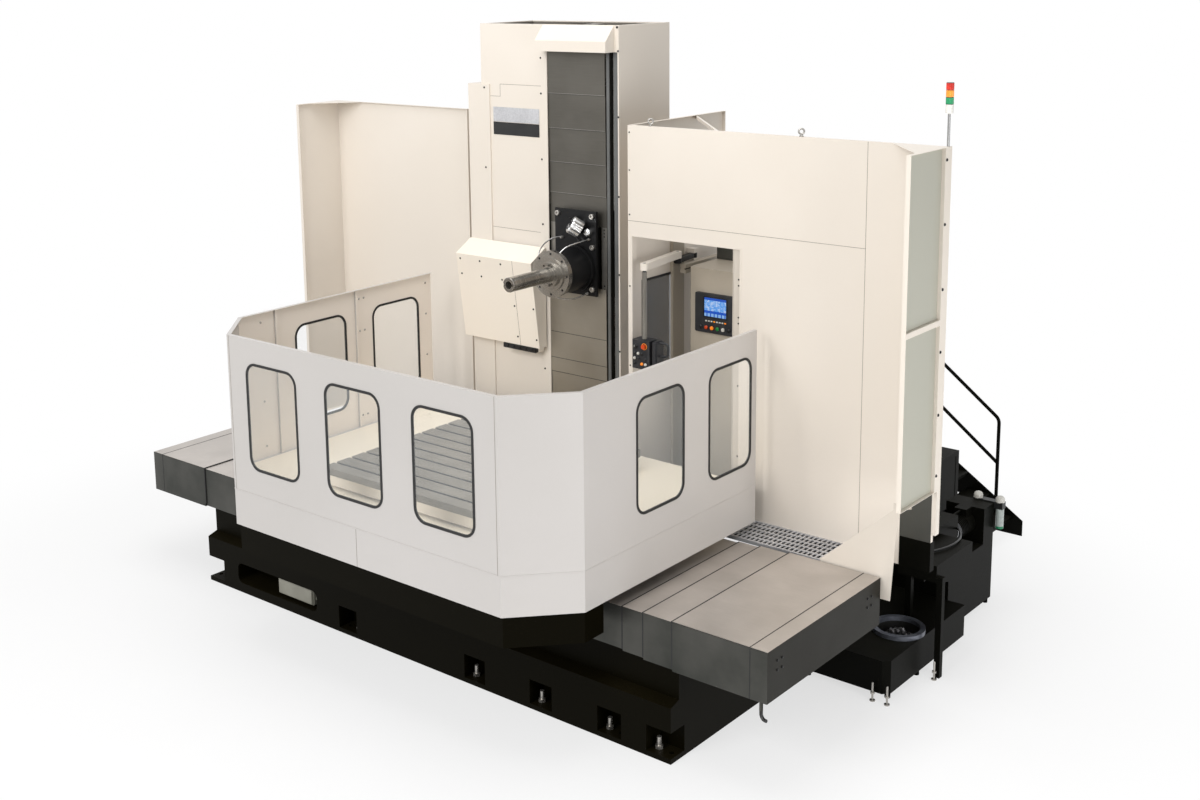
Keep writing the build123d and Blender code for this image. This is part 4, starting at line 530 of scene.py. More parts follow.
def add_turned(shape, centre, axis, profile, around=24, flutes=0, flute_depth=0.0):
    """Turn a profile of (radius, height) points about an axis, with flutes if asked."""
    turn = Vector((0, 0, 1)).rotation_difference(Vector(axis)).to_matrix()
    rings = []
    for radius, height in profile:
        ring = []
        for angle in angles(around):
            reach = radius - flute_depth * (0.5 + 0.5 * math.cos(flutes * angle)) if flutes else radius
            point = Vector((reach * math.cos(angle), reach * math.sin(angle), height))
            ring.append(shape.verts.new(Vector(centre) + turn @ point))
        rings.append(ring)
    for lower, upper in zip(rings, rings[1:]):
        for step in range(around):
            after = (step + 1) % around
            shape.faces.new((lower[step], lower[after], upper[after], upper[step]))
    shape.faces.new(list(reversed(rings[0])))
    shape.faces.new(rings[-1])


def turned_piece(name, places, axis, profile, finish, body, around, flutes=0, flute_depth=0.0, smooth=40):
    """The same turned form at one or more places, as one piece."""
    shape = bmesh.new()
    for place in places:
        add_turned(shape, place, axis, profile, around, flutes, flute_depth)
    return finish_piece(name, shape, finish, body, smooth)


def add_ring(shape, centre, turn, ring_radius, tube_radius, around=24, section=10):
    rows = []
    for outer in angles(around):
        row = []
        for inner in angles(section):
            reach = ring_radius + tube_radius * math.cos(inner)
            point = Vector((reach * math.cos(outer), tube_radius * math.sin(inner), reach * math.sin(outer)))
            row.append(shape.verts.new(Vector(centre) + Matrix.Rotation(turn, 3, "Z") @ point))
        rows.append(row)
    for step in range(around):
        after = (step + 1) % around
        for part in range(section):
            beside = (part + 1) % section
            shape.faces.new((rows[step][part], rows[after][part], rows[after][beside], rows[step][beside]))


def bent_tube(name, points, radius, finish, body):
    """A smooth tube that leaves its first point and ends in its last one."""
    data = bpy.data.curves.new(name, "CURVE")
    data.dimensions = "3D"
    spline = data.splines.new("NURBS")
    spline.points.add(len(points) - 1)
    for spot, point in zip(spline.points, points):
        spot.co = (*point, 1)
    spline.order_u = 3
    spline.use_endpoint_u = True
    data.resolution_u = 8
    data.bevel_depth = radius
    data.bevel_resolution = 3
    data.use_fill_caps = True
    return keep_piece(name, data, finish, body)


print("helpers ready")


# %% [markdown]
# Sheet panels are held by small dome screws. Each screw is a turned profile, and all the screws of
# one panel are one piece, because they never move apart.

# %% Screws
def dome_screws(name, places, axis, radius, finish, body):
    profile = [(radius, 0), (radius, radius * 0.3)]
    profile += [(radius * 0.75, radius * 0.6), (radius * 0.3, radius * 0.72)]
    turned_piece(name, places, axis, profile, finish, body, 12)


def cap_screws(name, places, axis, radius, finish, body):
    """Socket head screws: a round head with a well in its top."""
    well, tall = radius * 0.5, radius * 1.1
    profile = [(radius, 0), (radius, tall * 0.9), (radius * 0.9, tall)]
    profile += [(well, tall), (well * 0.9, tall * 0.5)]
    turned_piece(name, places, axis, profile, finish, body, 16)


toward, rightward, upward = (0, -1, 0), (1, 0, 0), (0, 0, 1)
casing_front, track_front, booth_front = 1.525, 1.511, 1.213
return_face, ends_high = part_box("right_return")[1].x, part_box("cover_ends")[1]
edge_screws = [(-0.44, casing_front, z) for z in (4.79, 4.47, 3.87, 3.27, 1.9, 1.4)]
edge_screws += [(0.437, casing_front, z) for z in (4.87, 4.3, 3.6, 2.9, 2.2, 1.5)]
edge_screws += [(-1.12, track_front, z) for z in (4.50, 3.75)]
hood_screws = [(x, casing_front, 5.074) for x in (-0.38, 0.01, 0.428)]
return_screws = [(return_face, 1.19, z) for z in (4.19, 3.72, 3.24, 2.77, 2.29, 1.82)]
wall_screws = [(0.787, booth_front, z) for z in (4.22, 3.9, 3.52, 2.9, 2.2, 1.5)]
end_screws = [(ends_high.x, y, z) for y in (-0.66, -0.60, 0.60, 0.66) for z in (0.99, 0.92)]
for name, places, axis, radius, body in (
    ("casing_screws", edge_screws, toward, 0.009, "column"),
    ("hood_screws", hood_screws, toward, 0.011, "column"),
    ("return_screws", return_screws, rightward, 0.012, "base"),
    ("booth_edge_screws", wall_screws, toward, 0.007, "base"),
    ("cover_end_screws", end_screws, rightward, 0.010, "base"),
):
    dome_screws(name, places, axis, radius, satin_black, body)
print("screws made")


# %% [markdown]
# The seams between panels are gaps of two millimetres that read as fine lines. Cutting them into
# the solids would change the frame, so a thin dark strip that stands a fraction proud is laid along
# each seam. A strip is swept along two points with a chosen width.

# %% Panel seams
def add_strip(shape, start, end, face, width, proud):
    """A thin flat strip between two points on a face, standing a little proud of it."""
    start, end, face = Vector(start), Vector(end), Vector(face)
    across = (end - start).cross(face).normalized() * (width / 2)
    base = [start - across, start + across, end + across, end - across]
    low = [shape.verts.new(point) for point in base]
    high = [shape.verts.new(point + face * proud) for point in base]
    shape.faces.new(high)
    shape.faces.new(list(reversed(low)))
    for step in range(4):
        after = (step + 1) % 4
        shape.faces.new((low[step], low[after], high[after], high[step]))


def seam_lines(name, lines, face, finish, body, width=0.003, proud=0.0008):
    shape = bmesh.new()
    for run in lines:
        for start, end in zip(run, run[1:]):
            add_strip(shape, start, end, face, width, proud)
    finish_piece(name, shape, finish, body)


def at_depth(y, runs):
    """Runs drawn as (x, z) points, set on a plane that faces the front."""
    return [[(x, y, z) for x, z in run] for run in runs]


end_seam, wall_seam = 2.999, 3.468
booth_runs = [[(end_seam, 1.045), (end_seam, 4.278)], [(0.771, wall_seam), (end_seam, wall_seam)]]
seam_lines("booth_seams", at_depth(booth_front, booth_runs), toward, seam_shadow, "base")
casing_runs = [[(-0.44, 4.537), (-0.934, 4.537), (-0.934, 4.424)], [(-0.934, 4.424), (-1.056, 4.424)]]
casing_runs += [[(-0.47, 3.19), (-1.056, 3.19)]]
seam_lines("casing_seams", at_depth(casing_front, casing_runs), toward, seam_shadow, "column")
print("wall seams made")

# %% [markdown]
# The guard is bent from several sheets. Its band turns out to a bright lip where the panels stand
# on it, and short upright seams show where two sheets meet. The lip follows the guard's plan, so
# its points are read off the plan once, in order round the guard. Two posts stiffen the left panel.

# %% Guard lip and seams
guard_low, guard_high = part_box("guard_base")
left, right_side, front = guard_low.x, guard_high.x, guard_low.y
guard_seam, guard_top, corner_x, corner_y, right_rear = 1.447, 2.738, 0.402, 0.437, 1.079
guard_plan = [
    (left, guard_high.y), (left, front + corner_y), (left + corner_x, front),
    (right_side - corner_x, front), (right_side, front + corner_y), (right_side, right_rear),
]
lip = bmesh.new()
for first, second in zip(guard_plan, guard_plan[1:]):
    run = Vector((second[0] - first[0], second[1] - first[1], 0)).normalized()
    face = Vector((run.y, -run.x, 0))
    add_strip(lip, (*first, guard_seam), (*second, guard_seam), face, 0.006, 0.003)
finish_piece("guard_lip", lip, white, "saddle_unit")
seam_inset, band_seam = 0.425, 0.276
guard_runs = [[(x, guard_seam), (x, guard_top)] for x in (right_side - seam_inset, left + seam_inset)]
guard_runs += [[(band_seam, 1.142), (band_seam, guard_seam)]]
seam_lines("guard_seams", at_depth(front, guard_runs), toward, seam_shadow, "saddle_unit")
inner_face = left + 0.003
rivets = [(inner_face, y, z) for y in (-0.9, 0.24, 0.30, 1.1) for z in (1.55, 1.95, 2.35, 2.65)]
dome_screws("guard_rivets", rivets, rightward, 0.010, turned_steel, "saddle_unit")
post_half, post_face, post_foot, post_top = 0.014, inner_face + 0.021, 1.452, 2.735
posts = [
    ((inner_face, y - post_half, post_foot), (post_face, y + post_half, post_top), 0.003)
    for y in (-0.740, 0.197)
]
bar_piece("guard_inner_posts", posts, guard_lined, "saddle_unit")
print("guard lip runs", len(guard_plan) - 1)

# %% [markdown]
# Each sliding hood carries a rubber lip at its inner edge, which wipes the hood below it. The lip
# fills the step between the two, so its height is the step and its run follows the hood's section:
# up the front, over the top and down the back. It rides with its own hood. The fixed hoods also
# get a pale strip along the front edge of the top, which is a painted highlight, and a dark joint
# where their end caps begin.

# %% Wiper lips of the covers
hood_step, lip_width, fixed_edge, hood_foot, soft_edge = 0.008, 0.012, 2.640, 0.745, 0.001
lip_edges = [("base", side * fixed_edge, ends_high) for side in (-1, 1)]
for hood in ("cover_right_1", "cover_right_2", "cover_left_1", "cover_left_2"):
    hood_low, hood_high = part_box(hood)
    lip_edges.append((hood + "_unit", hood_low.x if "right" in hood else hood_high.x, hood_high))
for number, (body, edge, corner) in enumerate(lip_edges):
    low_x, high_x = sorted((edge, edge - math.copysign(lip_width, edge)))
    under = corner.z - hood_step
    bars = [((low_x, -corner.y, under + mm), (high_x, corner.y, corner.z), soft_edge)]
    for side in (-1, 1):
        near, far = sorted((side * corner.y, side * (corner.y - hood_step + mm)))
        bars.append(((low_x, near, hood_foot), (high_x, far, under), soft_edge))
    bar_piece(f"wiper_lip_{number}", bars, rubber_and_shade, body)
rim_width, joint_x, joint_foot, joint_width = 0.004, 3.274, 0.72, 0.007
cover_front, cover_top = -ends_high.y, ends_high.z
# The pale zinc strip along each fixed hood's top front edge is a painted highlight.
highlight_edges = []
cap_joint = bmesh.new()
for side in (-1, 1):
    start, stop = sorted((side * fixed_edge, side * (ends_high.x - rim_width)))
    edge_low = (start, cover_front, cover_top - rim_width)
    highlight_edges.append((edge_low, (stop, cover_front + rim_width, cover_top), soft_edge))
    joint = [(side * joint_x, y, cover_top) for y in (-cover_front, cover_front)]
    joint.append((side * joint_x, cover_front, joint_foot))
    add_strip(cap_joint, *joint[:2], upward, joint_width, 0.0008)
    add_strip(cap_joint, *joint[1:], toward, joint_width, 0.0008)
bar_piece("cover_bright_edge", highlight_edges, zinc_and_highlight, "base")
finish_piece("cover_cap_joints", cap_joint, rubber_and_shade, "base")
print("lips", len(lip_edges))

# %% [markdown]
# The way plates slide in front of each other like a roller shutter. Every plate ends in a folded
# edge: a pale strip paints the highlight on the fold, a thin dark strip just below it paints the
# shadow in the gap, and beside the plates run the guide bars of the shutter. The strips ride each
# with its own plate. The strips beside the head fit in the layer behind the sliding plates, so that
# nothing rubs when the head travels.

# %% Way plate edges and guide bars
plates_left, plates_right, layer, plates_front = -0.366, 0.281, 0.004, 1.533
edges = [("column", 4.472, 0), ("head", 1.890, 0), ("head", 2.272, 0), ("head", 2.025, 0)]
edges += [(f"way_plate_upper_{n}_unit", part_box(f"way_plate_upper_{n}")[0].z, n) for n in (1, 2, 3)]
for number, (body, foot, depth) in enumerate(edges):
    # The dark strip is a painted shadow and the pale one a painted highlight.
    for word, rise, finish in (("painted_shadow", 0.003, black_plastic_and_shadow), ("fold", 0.007, pale_steel_and_highlight)):
        run = [(plates_left, foot + rise), (plates_right, foot + rise)]
        lines = at_depth(plates_front + depth * layer, [run])
        seam_lines(f"plate_{word}_{number}", lines, toward, finish, body, 0.004, 0.0006)
guide_bars = {
    "inner": (0.296, 0.330, guide_steel), "middle": (0.336, 0.366, charcoal),
    "outer": (0.376, 0.424, guide_steel),
}
for word, (low_x, high_x, finish) in guide_bars.items():
    bars = [((low_x, 1.537, 1.165), (high_x, 1.548, 4.862), 0.003)]
    bar_piece(f"guide_bar_{word}", bars, finish, "column")
strip_front, strip_back, strip_foot, strip_top = 1.5496, 1.5528, 2.686, 3.302
strips = [
    ((low_x, strip_front, strip_foot), (high_x, strip_back, strip_top), 0.0005)
    for low_x, high_x in ((plates_left, -0.236), (0.222, plates_right))
]
bar_piece("head_side_strips", strips, pale_steel_and_highlight, "head")
print("plate edges", len(edges))

# %% [markdown]
# The tool arm's housing leans back to its foot, so its screws and its seam lie on a slope. The two
# corner points of the slope give the direction, and any height on it then has its depth.

# %% Tool arm screws and seam
arm_top, arm_foot = Vector((0, 1.300, 2.938)), Vector((0, 1.409, 2.118))
arm_face = (arm_foot - arm_top).cross(Vector(rightward)).normalized()


def on_arm(x, z):
    share = (z - arm_top.z) / (arm_foot.z - arm_top.z)
    return Vector((x, arm_top.y + share * (arm_foot.y - arm_top.y), z))


arm_screws = [on_arm(x, z) for x in (-1.29, -1.04, -0.78) for z in (2.89, 2.74)]
arm_screws += [on_arm(x, z) for x in (-0.66, -0.43) for z in (2.5, 2.2)]
dome_screws("arm_screws", arm_screws, arm_face, 0.009, satin_black, "column")
arm_run = [on_arm(-0.635, z) for z in (2.936, 2.12)]
seam_lines("arm_seam", [arm_run], arm_face, seam_shadow, "column")
brush = [((-0.85, 1.40, 2.070), (-0.45, 1.508, 2.116), 0.004)]
brush_ribs, brush_start, brush_pitch, brush_rib = 5, -0.81, 0.075, 0.03
for number in range(brush_ribs):
    rib_x = brush_start + number * brush_pitch
    brush.append(((rib_x, 1.394, 2.078), (rib_x + brush_rib, 1.41, 2.108), 0.002))
bar_piece("arm_brush_strip", brush, black_plastic_and_shadow, "column")
print("arm screws", len(arm_screws))

# %% [markdown]
# Two plain plates are riveted to the column's front. They stay bare: a brushed one above a dark
# one, with softened corners and four rivets each. A bump could draw the rivets, but real ones keep
# their form from the side.

# %% Bare plates
plate_left, plate_right, rivet_inset = -1.022, -0.464, 0.016
plate_face = casing_front - 0.004
rivet = [(0.006, 0), (0.005, 0.002), (0.002, 0.003)]
for word, low_z, high_z, finish in (("upper", 4.190, 4.325, zinc_and_highlight), ("lower", 4.068, 4.186, black_plastic_and_shadow)):
    shape = bmesh.new()
    add_bar(shape, (plate_left, plate_face, low_z), (plate_right, casing_front, high_z), 0.0015)
    for x in (plate_left + rivet_inset, plate_right - rivet_inset):
        for z in (low_z + rivet_inset, high_z - rivet_inset):
            add_turned(shape, (x, plate_face, z), toward, rivet, 10)
    finish_piece(f"bare_plate_{word}", shape, finish, "column")
print("plates", round(plate_right - plate_left, 3), "m wide")

# %% [markdown]
# The spindle head carries most of the small parts: socket screws in the nose ring, large cap screws
# on the black plate, rows of screws on the strips beside it, and bent coolant tubes from the plate
# to the ring. The tubes are smooth curves, because a bender leaves no corners. Thin dark rings mark
# the steps of the nose.

# %% Head screws and coolant tubes
ring_front, plate_front, bolt_circle, bolt_seat = 1.100, 1.465, 0.182, 0.012
ring_places = [
    (bolt_circle * math.cos(angle), ring_front + bolt_seat, axis_z + bolt_circle * math.sin(angle))
    for angle in angles(8)
]
cap_screws("ring_screws", ring_places, toward, 0.0105, satin_black, "head")
plate_spots = ((0.19, 3.13), (0.186, 2.747), (-0.205, 2.747), (-0.205, 3.41), (0.188, 3.41))
plate_places = [(x, plate_front, z) for x, z in plate_spots]
cap_screws("plate_screws", plate_places, toward, 0.024, turned_steel, "head")
sunk_places = [(x, strip_front, z) for x in (-0.27, 0.252) for z in (3.22, 3.25, 3.28, 2.71, 2.74, 2.77)]
flat = [(0.008, 0), (0.0075, 0.0002), (0.003, 0.0003)]
turned_piece("strip_screws", sunk_places, toward, flat, satin_black, "head", 12)
tube_start, tube_end = ring_front + 0.028, plate_front + 0.001
tube_routes = {
    "right": [(0.085, tube_start, 3.120), (0.10, 1.17, 3.165), (0.14, 1.30, 3.19), (0.15, 1.41, 3.20)],
    "left": [(-0.165, tube_start, 3.045), (-0.21, 1.18, 3.09), (-0.23, 1.30, 3.16), (-0.19, 1.42, 3.20)],
    "low": [(0.03, tube_start, 2.722), (0.05, 1.18, 2.69), (0.10, 1.30, 2.675), (0.13, 1.41, 2.70)],
}
tube_ends = {"right": (0.15, 3.20), "left": (-0.155, 3.19), "low": (0.13, 2.705)}
for word, (x, z) in tube_ends.items():
    bent_tube(f"coolant_tube_{word}", tube_routes[word] + [(x, tube_end, z)], 0.0065, chrome, "head")
union = [(0.013, 0), (0.013, 0.018), (0.009, 0.022), (0.009, 0.034)]
union_places = [(x, plate_front, z) for x, z in tube_ends.values()]
turned_piece("tube_unions", union_places, toward, union, turned_steel, "head", 6, smooth=20)
grooves = bmesh.new()
for groove_radius, groove_set in ((0.205, 0.0125), (0.150, 0.0125), (0.118, 0)):
    add_ring(grooves, (0, ring_front + groove_set, axis_z), 0, groove_radius, 0.0016, 64, 6)
finish_piece("ring_grooves", grooves, black_plastic_and_shadow, "head")
print("tubes", len(tube_routes))

# %% [markdown]
# The coolant nozzle is a chromed rotary body. Over its block sits a fluted collar, turned and then
# cut with ten flutes, and a small swivel outlet beside it. Here the flutes are a wave on the radius
# of the turned form, which needs no cutting.

# %% Nozzle collar
nozzle_centre, nozzle_way = (0.095, 1.405, 3.288), (-0.55, -0.62, 0.55)
collar = bmesh.new()
collar_profile = [(0.068, 0), (0.080, 0.006), (0.080, 0.098), (0.068, 0.110), (0.038, 0.110), (0.034, 0.090)]
add_turned(collar, nozzle_centre, nozzle_way, collar_profile, 72, 10, 0.010)
swivel = [(0.020, 0), (0.034, 0.004), (0.034, 0.046), (0.026, 0.054), (0.012, 0.056)]
add_turned(collar, (0.150, plate_front, 3.262), (0.1, -1, 0.15), swivel, 32, 6, 0.004)
finish_piece("nozzle_collar", collar, chrome, "head")
print("nozzle at", nozzle_centre)

# %% [markdown]
# The pendant hangs on a corrugated conduit. Its ribs are one turned profile that swings between two
# radii, and it slips over the plain tube of the frame. The front of the pendant has push buttons in
# rows, a selector with a bright pointer, and a raised ring round the stop button.

# %% Pendant
pendant_x, pendant_y, pendant_front = 0.950, 1.200, 1.135
conduit_low, conduit_high, fold_pitch, fold_inner, fold_outer = 2.462, 3.056, 0.011, 0.0185, 0.0222
ribs = []
for step in range(int((conduit_high - conduit_low) / fold_pitch)):
    for share, radius in ((0, fold_inner), (0.3, fold_outer), (0.6, fold_outer), (0.9, fold_inner)):
        ribs.append((radius, step * fold_pitch + fold_pitch * share))
conduit_foot = (pendant_x, pendant_y, conduit_low)
turned_piece("pendant_conduit", [conduit_foot], upward, ribs, pale_steel_and_highlight, "pendant_box", 20, smooth=30)
cap = [(0.0125, 0), (0.0125, 0.006), (0.0095, 0.008), (0.0095, 0.013), (0.006, 0.015)]
button_left, button_top, column_pitch, row_pitch = 0.893, 2.345, 0.038, 0.044
button_rows = {
    black_plastic_and_shadow: [(0, 0), (2, 0), (1, 1), (3, 1), (0, 2)],
    key_white: [(1, 0), (0, 1), (3, 2)],
    key_amber: [(2, 2)],
}
for finish, spots in button_rows.items():
    places = [
        (button_left + column * column_pitch, pendant_front, button_top - row * row_pitch)
        for column, row in spots
    ]
    turned_piece("pendant_" + finish.material.name, places, toward, cap, finish, "pendant_box", 18)
selector = (0.905, pendant_front, 2.405)
knob = [(0.022, 0), (0.022, 0.005), (0.016, 0.007), (0.015, 0.022), (0.012, 0.024)]
turned_piece("pendant_selector", [selector], toward, knob, black_plastic_and_shadow, "pendant_box", 32, 8, 0.002)
pointer = [((0.9035, pendant_front - 0.026, 2.402), (0.9065, pendant_front - 0.023, 2.420), 0.0005)]
bar_piece("pendant_pointer", pointer, key_white, "pendant_box")
# The stop collar's amber glow is painted light.
collar = bmesh.new()
add_ring(collar, (0.992, pendant_front - 0.001, 2.412), 0, 0.0260, 0.0025, 32, 8)
finish_piece("stop_collar", collar, key_amber, "pendant_box")
side_case = [((1.062, 1.146, 2.222), (1.112, 1.258, 2.462), 0.008)]
bar_piece("pendant_side_case", side_case, moulded, "pendant_box")
grip = [(1.108, 2.448), (1.160, 2.452), (1.190, 2.445), (1.198, 2.420), (1.198, 2.390)]
grip += [(1.190, 2.345), (1.160, 2.332), (1.108, 2.336)]
bent_tube("pendant_grip", [(x, pendant_y, z) for x, z in grip], 0.010, moulded, "pendant_box")
print("conduit ribs", len(ribs) // 4)

# %% [markdown]
# The operator's screen glows. Its picture is only a pattern: a pale field with rows of short dashes
# made by a wave and two noises, a darker header and a row of soft keys, none of which can be read.

# %% Screen
panel_low, panel_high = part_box("operator_panel")
screen_left, screen_right, screen_low, screen_high = 1.1705, 1.3985, 2.586, 2.754
glass_front, glass_back = 1.7765, 1.7788
field_low, field_high, keys_high, rows_per_metre, keys_per_metre = 0.052, 0.145, 0.028, 95, 27
screen = Finish("screen_glow", "control_black")
across = screen.axis(0) - screen_left
level = screen.axis(2) - screen_low
dashes = screen.noise(1.0, 2, (260, 1, 0.001)).above(0.5)
blocks = screen.noise(1.0, 1, (40, 1, 60)).above(0.47)
field = level.above(field_low) * (1 - level.above(field_high))
text_like = level.wave(rows_per_metre).above(0.55) * dashes * blocks * field
keys = (1 - level.above(keys_high)) * across.wave(keys_per_metre).above(0.2)
sky = screen.mix(field, rgb(30, 84, 190), rgb(96, 160, 236))
lit = screen.mix(text_like, sky, rgb(236, 244, 250))
lit = screen.mix(keys * 0.8, lit, rgb(150, 196, 240))
screen.set(base_color=rgb(8, 10, 14), roughness=0.18 + blocks * 0.02)
screen.set(emission_color=lit, emission_strength=0.9)
glass = [((screen_left, glass_front, screen_low), (screen_right, glass_back, screen_high), 0.0008)]
bar_piece("screen_glass", glass, screen, "base")
print("screen", round(screen_right - screen_left, 3), "by", round(screen_high - screen_low, 3))

# %% [markdown]
# Coloured caps sit over the plain buttons of the panel, and a row of small lamps runs above them.
# The caps repeat the pitch of the frame's buttons, counted from the panel's middle. A thin bezel
# frames the screen.

# %% Panel buttons
panel_middle = (panel_low.x + panel_high.x) / 2
panel_front, button_height, button_pitch, middle_number = 1.772, 2.488, 0.058, 2.5
button_cap = [(0.0150, 0), (0.0165, 0.002), (0.0165, 0.012), (0.014, 0.0145), (0.008, 0.0155)]
caps = {black_plastic_and_shadow: (0, 5), stop_red: (1,), key_amber: (2,), key_green: (3,), key_white: (4,)}
for finish, numbers in caps.items():
    starts = [panel_middle + (number - middle_number) * button_pitch for number in numbers]
    places = [(x, panel_front, button_height) for x in starts]
    turned_piece("panel_" + finish.material.name, places, toward, button_cap, finish, "base", 24)
light_front, light_back, light_foot, light_top = 1.7695, 1.7722, 2.540, 2.552
light_start, light_pitch, light_length = panel_middle - 0.10, 0.028, 0.018
for finish, numbers in {key_white: (0, 1, 2, 4, 5, 6), key_amber: (3, 7)}.items():
    starts = [light_start + number * light_pitch for number in numbers]
    bars = [
        ((x, light_front, light_foot), (x + light_length, light_back, light_top), 0.0008) for x in starts
    ]
    bar_piece("panel_lamps_" + finish.material.name, bars, finish, "base")
bezel_front, bezel_wide, bezel_high = 1.768, 0.012, 0.010
bezel_left, bezel_right = screen_left - bezel_wide, screen_right + bezel_wide
bezel = [
    ((low_x, bezel_front, low_z), (high_x, light_back, high_z), 0.0015)
    for low_x, high_x, low_z, high_z in (
        (bezel_left, bezel_right, screen_high, screen_high + bezel_high),
        (bezel_left, bezel_right, screen_low - bezel_high, screen_low),
        (bezel_left, screen_left, screen_low, screen_high),
        (screen_right, bezel_right, screen_low, screen_high),
    )
]
bar_piece("screen_bezel", bezel, black_plastic_and_shadow, "base")
print("caps", sum(len(numbers) for numbers in caps.values()))

# %% [markdown]
# The signal lamps replace one plain solid. Each lens is a fluted ring with its own colour, parted
# by thin black rings. One mesh could carry all the colours, but a piece for each lens keeps one
# finish each. A faint glow stands for the light inside.

# %% Signal lamps
lamp_low, lamp_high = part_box("signal_lamps")
lamp_x, lamp_y = (lamp_low.x + lamp_high.x) / 2, (lamp_low.y + lamp_high.y) / 2
lamp_radius = (lamp_high.x - lamp_low.x) / 2
lens_height = (lamp_high.z - lamp_low.z) / 3
lens_colours = {
    "green": (rgb(30, 140, 90), rgb(20, 110, 66)),
    "amber": (rgb(240, 150, 50), rgb(226, 120, 30)),
    "red": (rgb(214, 52, 34), rgb(180, 34, 22)),
}
shoulder, lens_gap, lens_rise = lamp_radius * 0.96, 0.002, 0.004
profile = [(shoulder, lens_gap), (lamp_radius, lens_rise)]
profile += [(lamp_radius, lens_height - lens_rise), (shoulder, lens_height - lens_gap)]
for number, (word, colours) in enumerate(lens_colours.items()):
    lens_finish = plastic(f"lens_{word}", "lamp_plastic", *colours, 0.2, 0.05, 0.25)
    foot = [(lamp_x, lamp_y, lamp_low.z + number * lens_height)]
    turned_piece(f"lens_{word}", foot, upward, profile, lens_finish, "base", 96, 24, 0.0012, 20)
ring_height, ring_radius = 0.003, lamp_radius * 0.97
ring_feet = [lamp_low.z + number * lens_height - (ring_height if number else 0) for number in range(4)]
ring = [(ring_radius, 0), (ring_radius, ring_height)]
turned_piece("lamp_rings", [(lamp_x, lamp_y, z) for z in ring_feet], upward, ring, black_plastic_and_shadow, "base", 32)
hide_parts("signal_lamps")

# %% [markdown]
# The walkway plank is a safety grating: long rails with short ribs between them, over a dark sheet
# that paints the shade seen through the gaps. Real gratings are finer than the frame's solid, so
# the piece replaces it.

# %% Walkway grating
plank_low, plank_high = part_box("walkway_grating")
rail_count, rib_count, rail_width, rib_width, bar_depth = 6, 26, 0.020, 0.015, 0.010
rail_pitch = (plank_high.y - plank_low.y - rail_width) / (rail_count - 1)
rib_pitch = (plank_high.x - plank_low.x - rib_width) / rib_count
bar_foot, rib_top = plank_high.z - bar_depth, plank_high.z - 0.002
bars = []
for number in range(rail_count):
    y = plank_low.y + number * rail_pitch
    foot = plank_low.z if number in (0, rail_count - 1) else bar_foot
    bars.append(((plank_low.x, y, foot), (plank_high.x, y + rail_width, plank_high.z), 0.0015))
rib_front, rib_rear = plank_low.y + rail_width / 2, plank_high.y - rail_width / 2
for number in range(rib_count + 1):
    x = plank_low.x + number * rib_pitch
    bars.append(((x, rib_front, bar_foot), (x + rib_width, rib_rear, rib_top)))
grating_piece = bar_piece("grating_bars", bars, zinc_and_highlight, "base")
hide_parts("walkway_grating")
# A dark sheet under the bars: painted shade seen through the gaps.
shade_sheet_foot, shade_sheet_top = bar_foot - 0.010, bar_foot - 0.006
shade_sheet_low = (plank_low.x, plank_low.y + rail_width, shade_sheet_foot)
shade_sheet_high = (plank_high.x, plank_high.y - rail_width, shade_sheet_top)
bar_piece("grating_shade_sheet", [(shade_sheet_low, shade_sheet_high, 0.001)], rubber_and_shade, "base")
print("grating ribs", rib_count + 1)

# %% [markdown]
# Two lifting eyes stand on the booth's top edge. An eye is a ring on a turned shank. Blender's own
# torus would do for the ring, but the ring helper puts both forms in one mesh.

# %% Lifting eyes
booth_low, booth_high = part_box("booth_walls")
eye_y, eye_z, eye_radius, eye_tube = booth_front + 0.018, booth_high.z + 0.040, 0.021, 0.007
shank = [(0.018, 0), (0.018, 0.006), (0.010, 0.010), (0.009, 0.020)]
eyes = bmesh.new()
for eye_x in (0.995, 2.423):
    add_turned(eyes, (eye_x, eye_y, booth_high.z), upward, shank, 16)
    add_ring(eyes, (eye_x, eye_y, eye_z), 0.5, eye_radius, eye_tube)
finish_piece("lifting_eyes", eyes, turned_steel, "base")
print("eyes at", round(booth_high.z, 3))

# %% [markdown]
# The doorway is trimmed with a folded jamb, and the side window of the booth has a rubber seal. A
# screwed stop strip stands inside the right jamb. The folds could be bent from a sheet, but only
# their faces show, so softened bars are enough.

# %% Doorway trim
door_left, door_right, door_top, deck, reveal, trim = 0.811, 1.889, 3.337, 1.092, 0.002, 0.016
jamb_front, jamb_rear, jamb_top = booth_front - 0.002, booth_front + 0.060, door_top + trim
jamb = [
    ((low_x, jamb_front, low_z), (high_x, jamb_rear, jamb_top), 0.0015)
    for low_x, high_x, low_z in (
        (door_right - reveal, door_right + trim, deck), (door_left - trim, door_left + reveal, deck),
        (door_left, door_right, door_top - reveal),
    )
]
bar_piece("door_jamb", jamb, cream, "base")
stop_left = 1.815
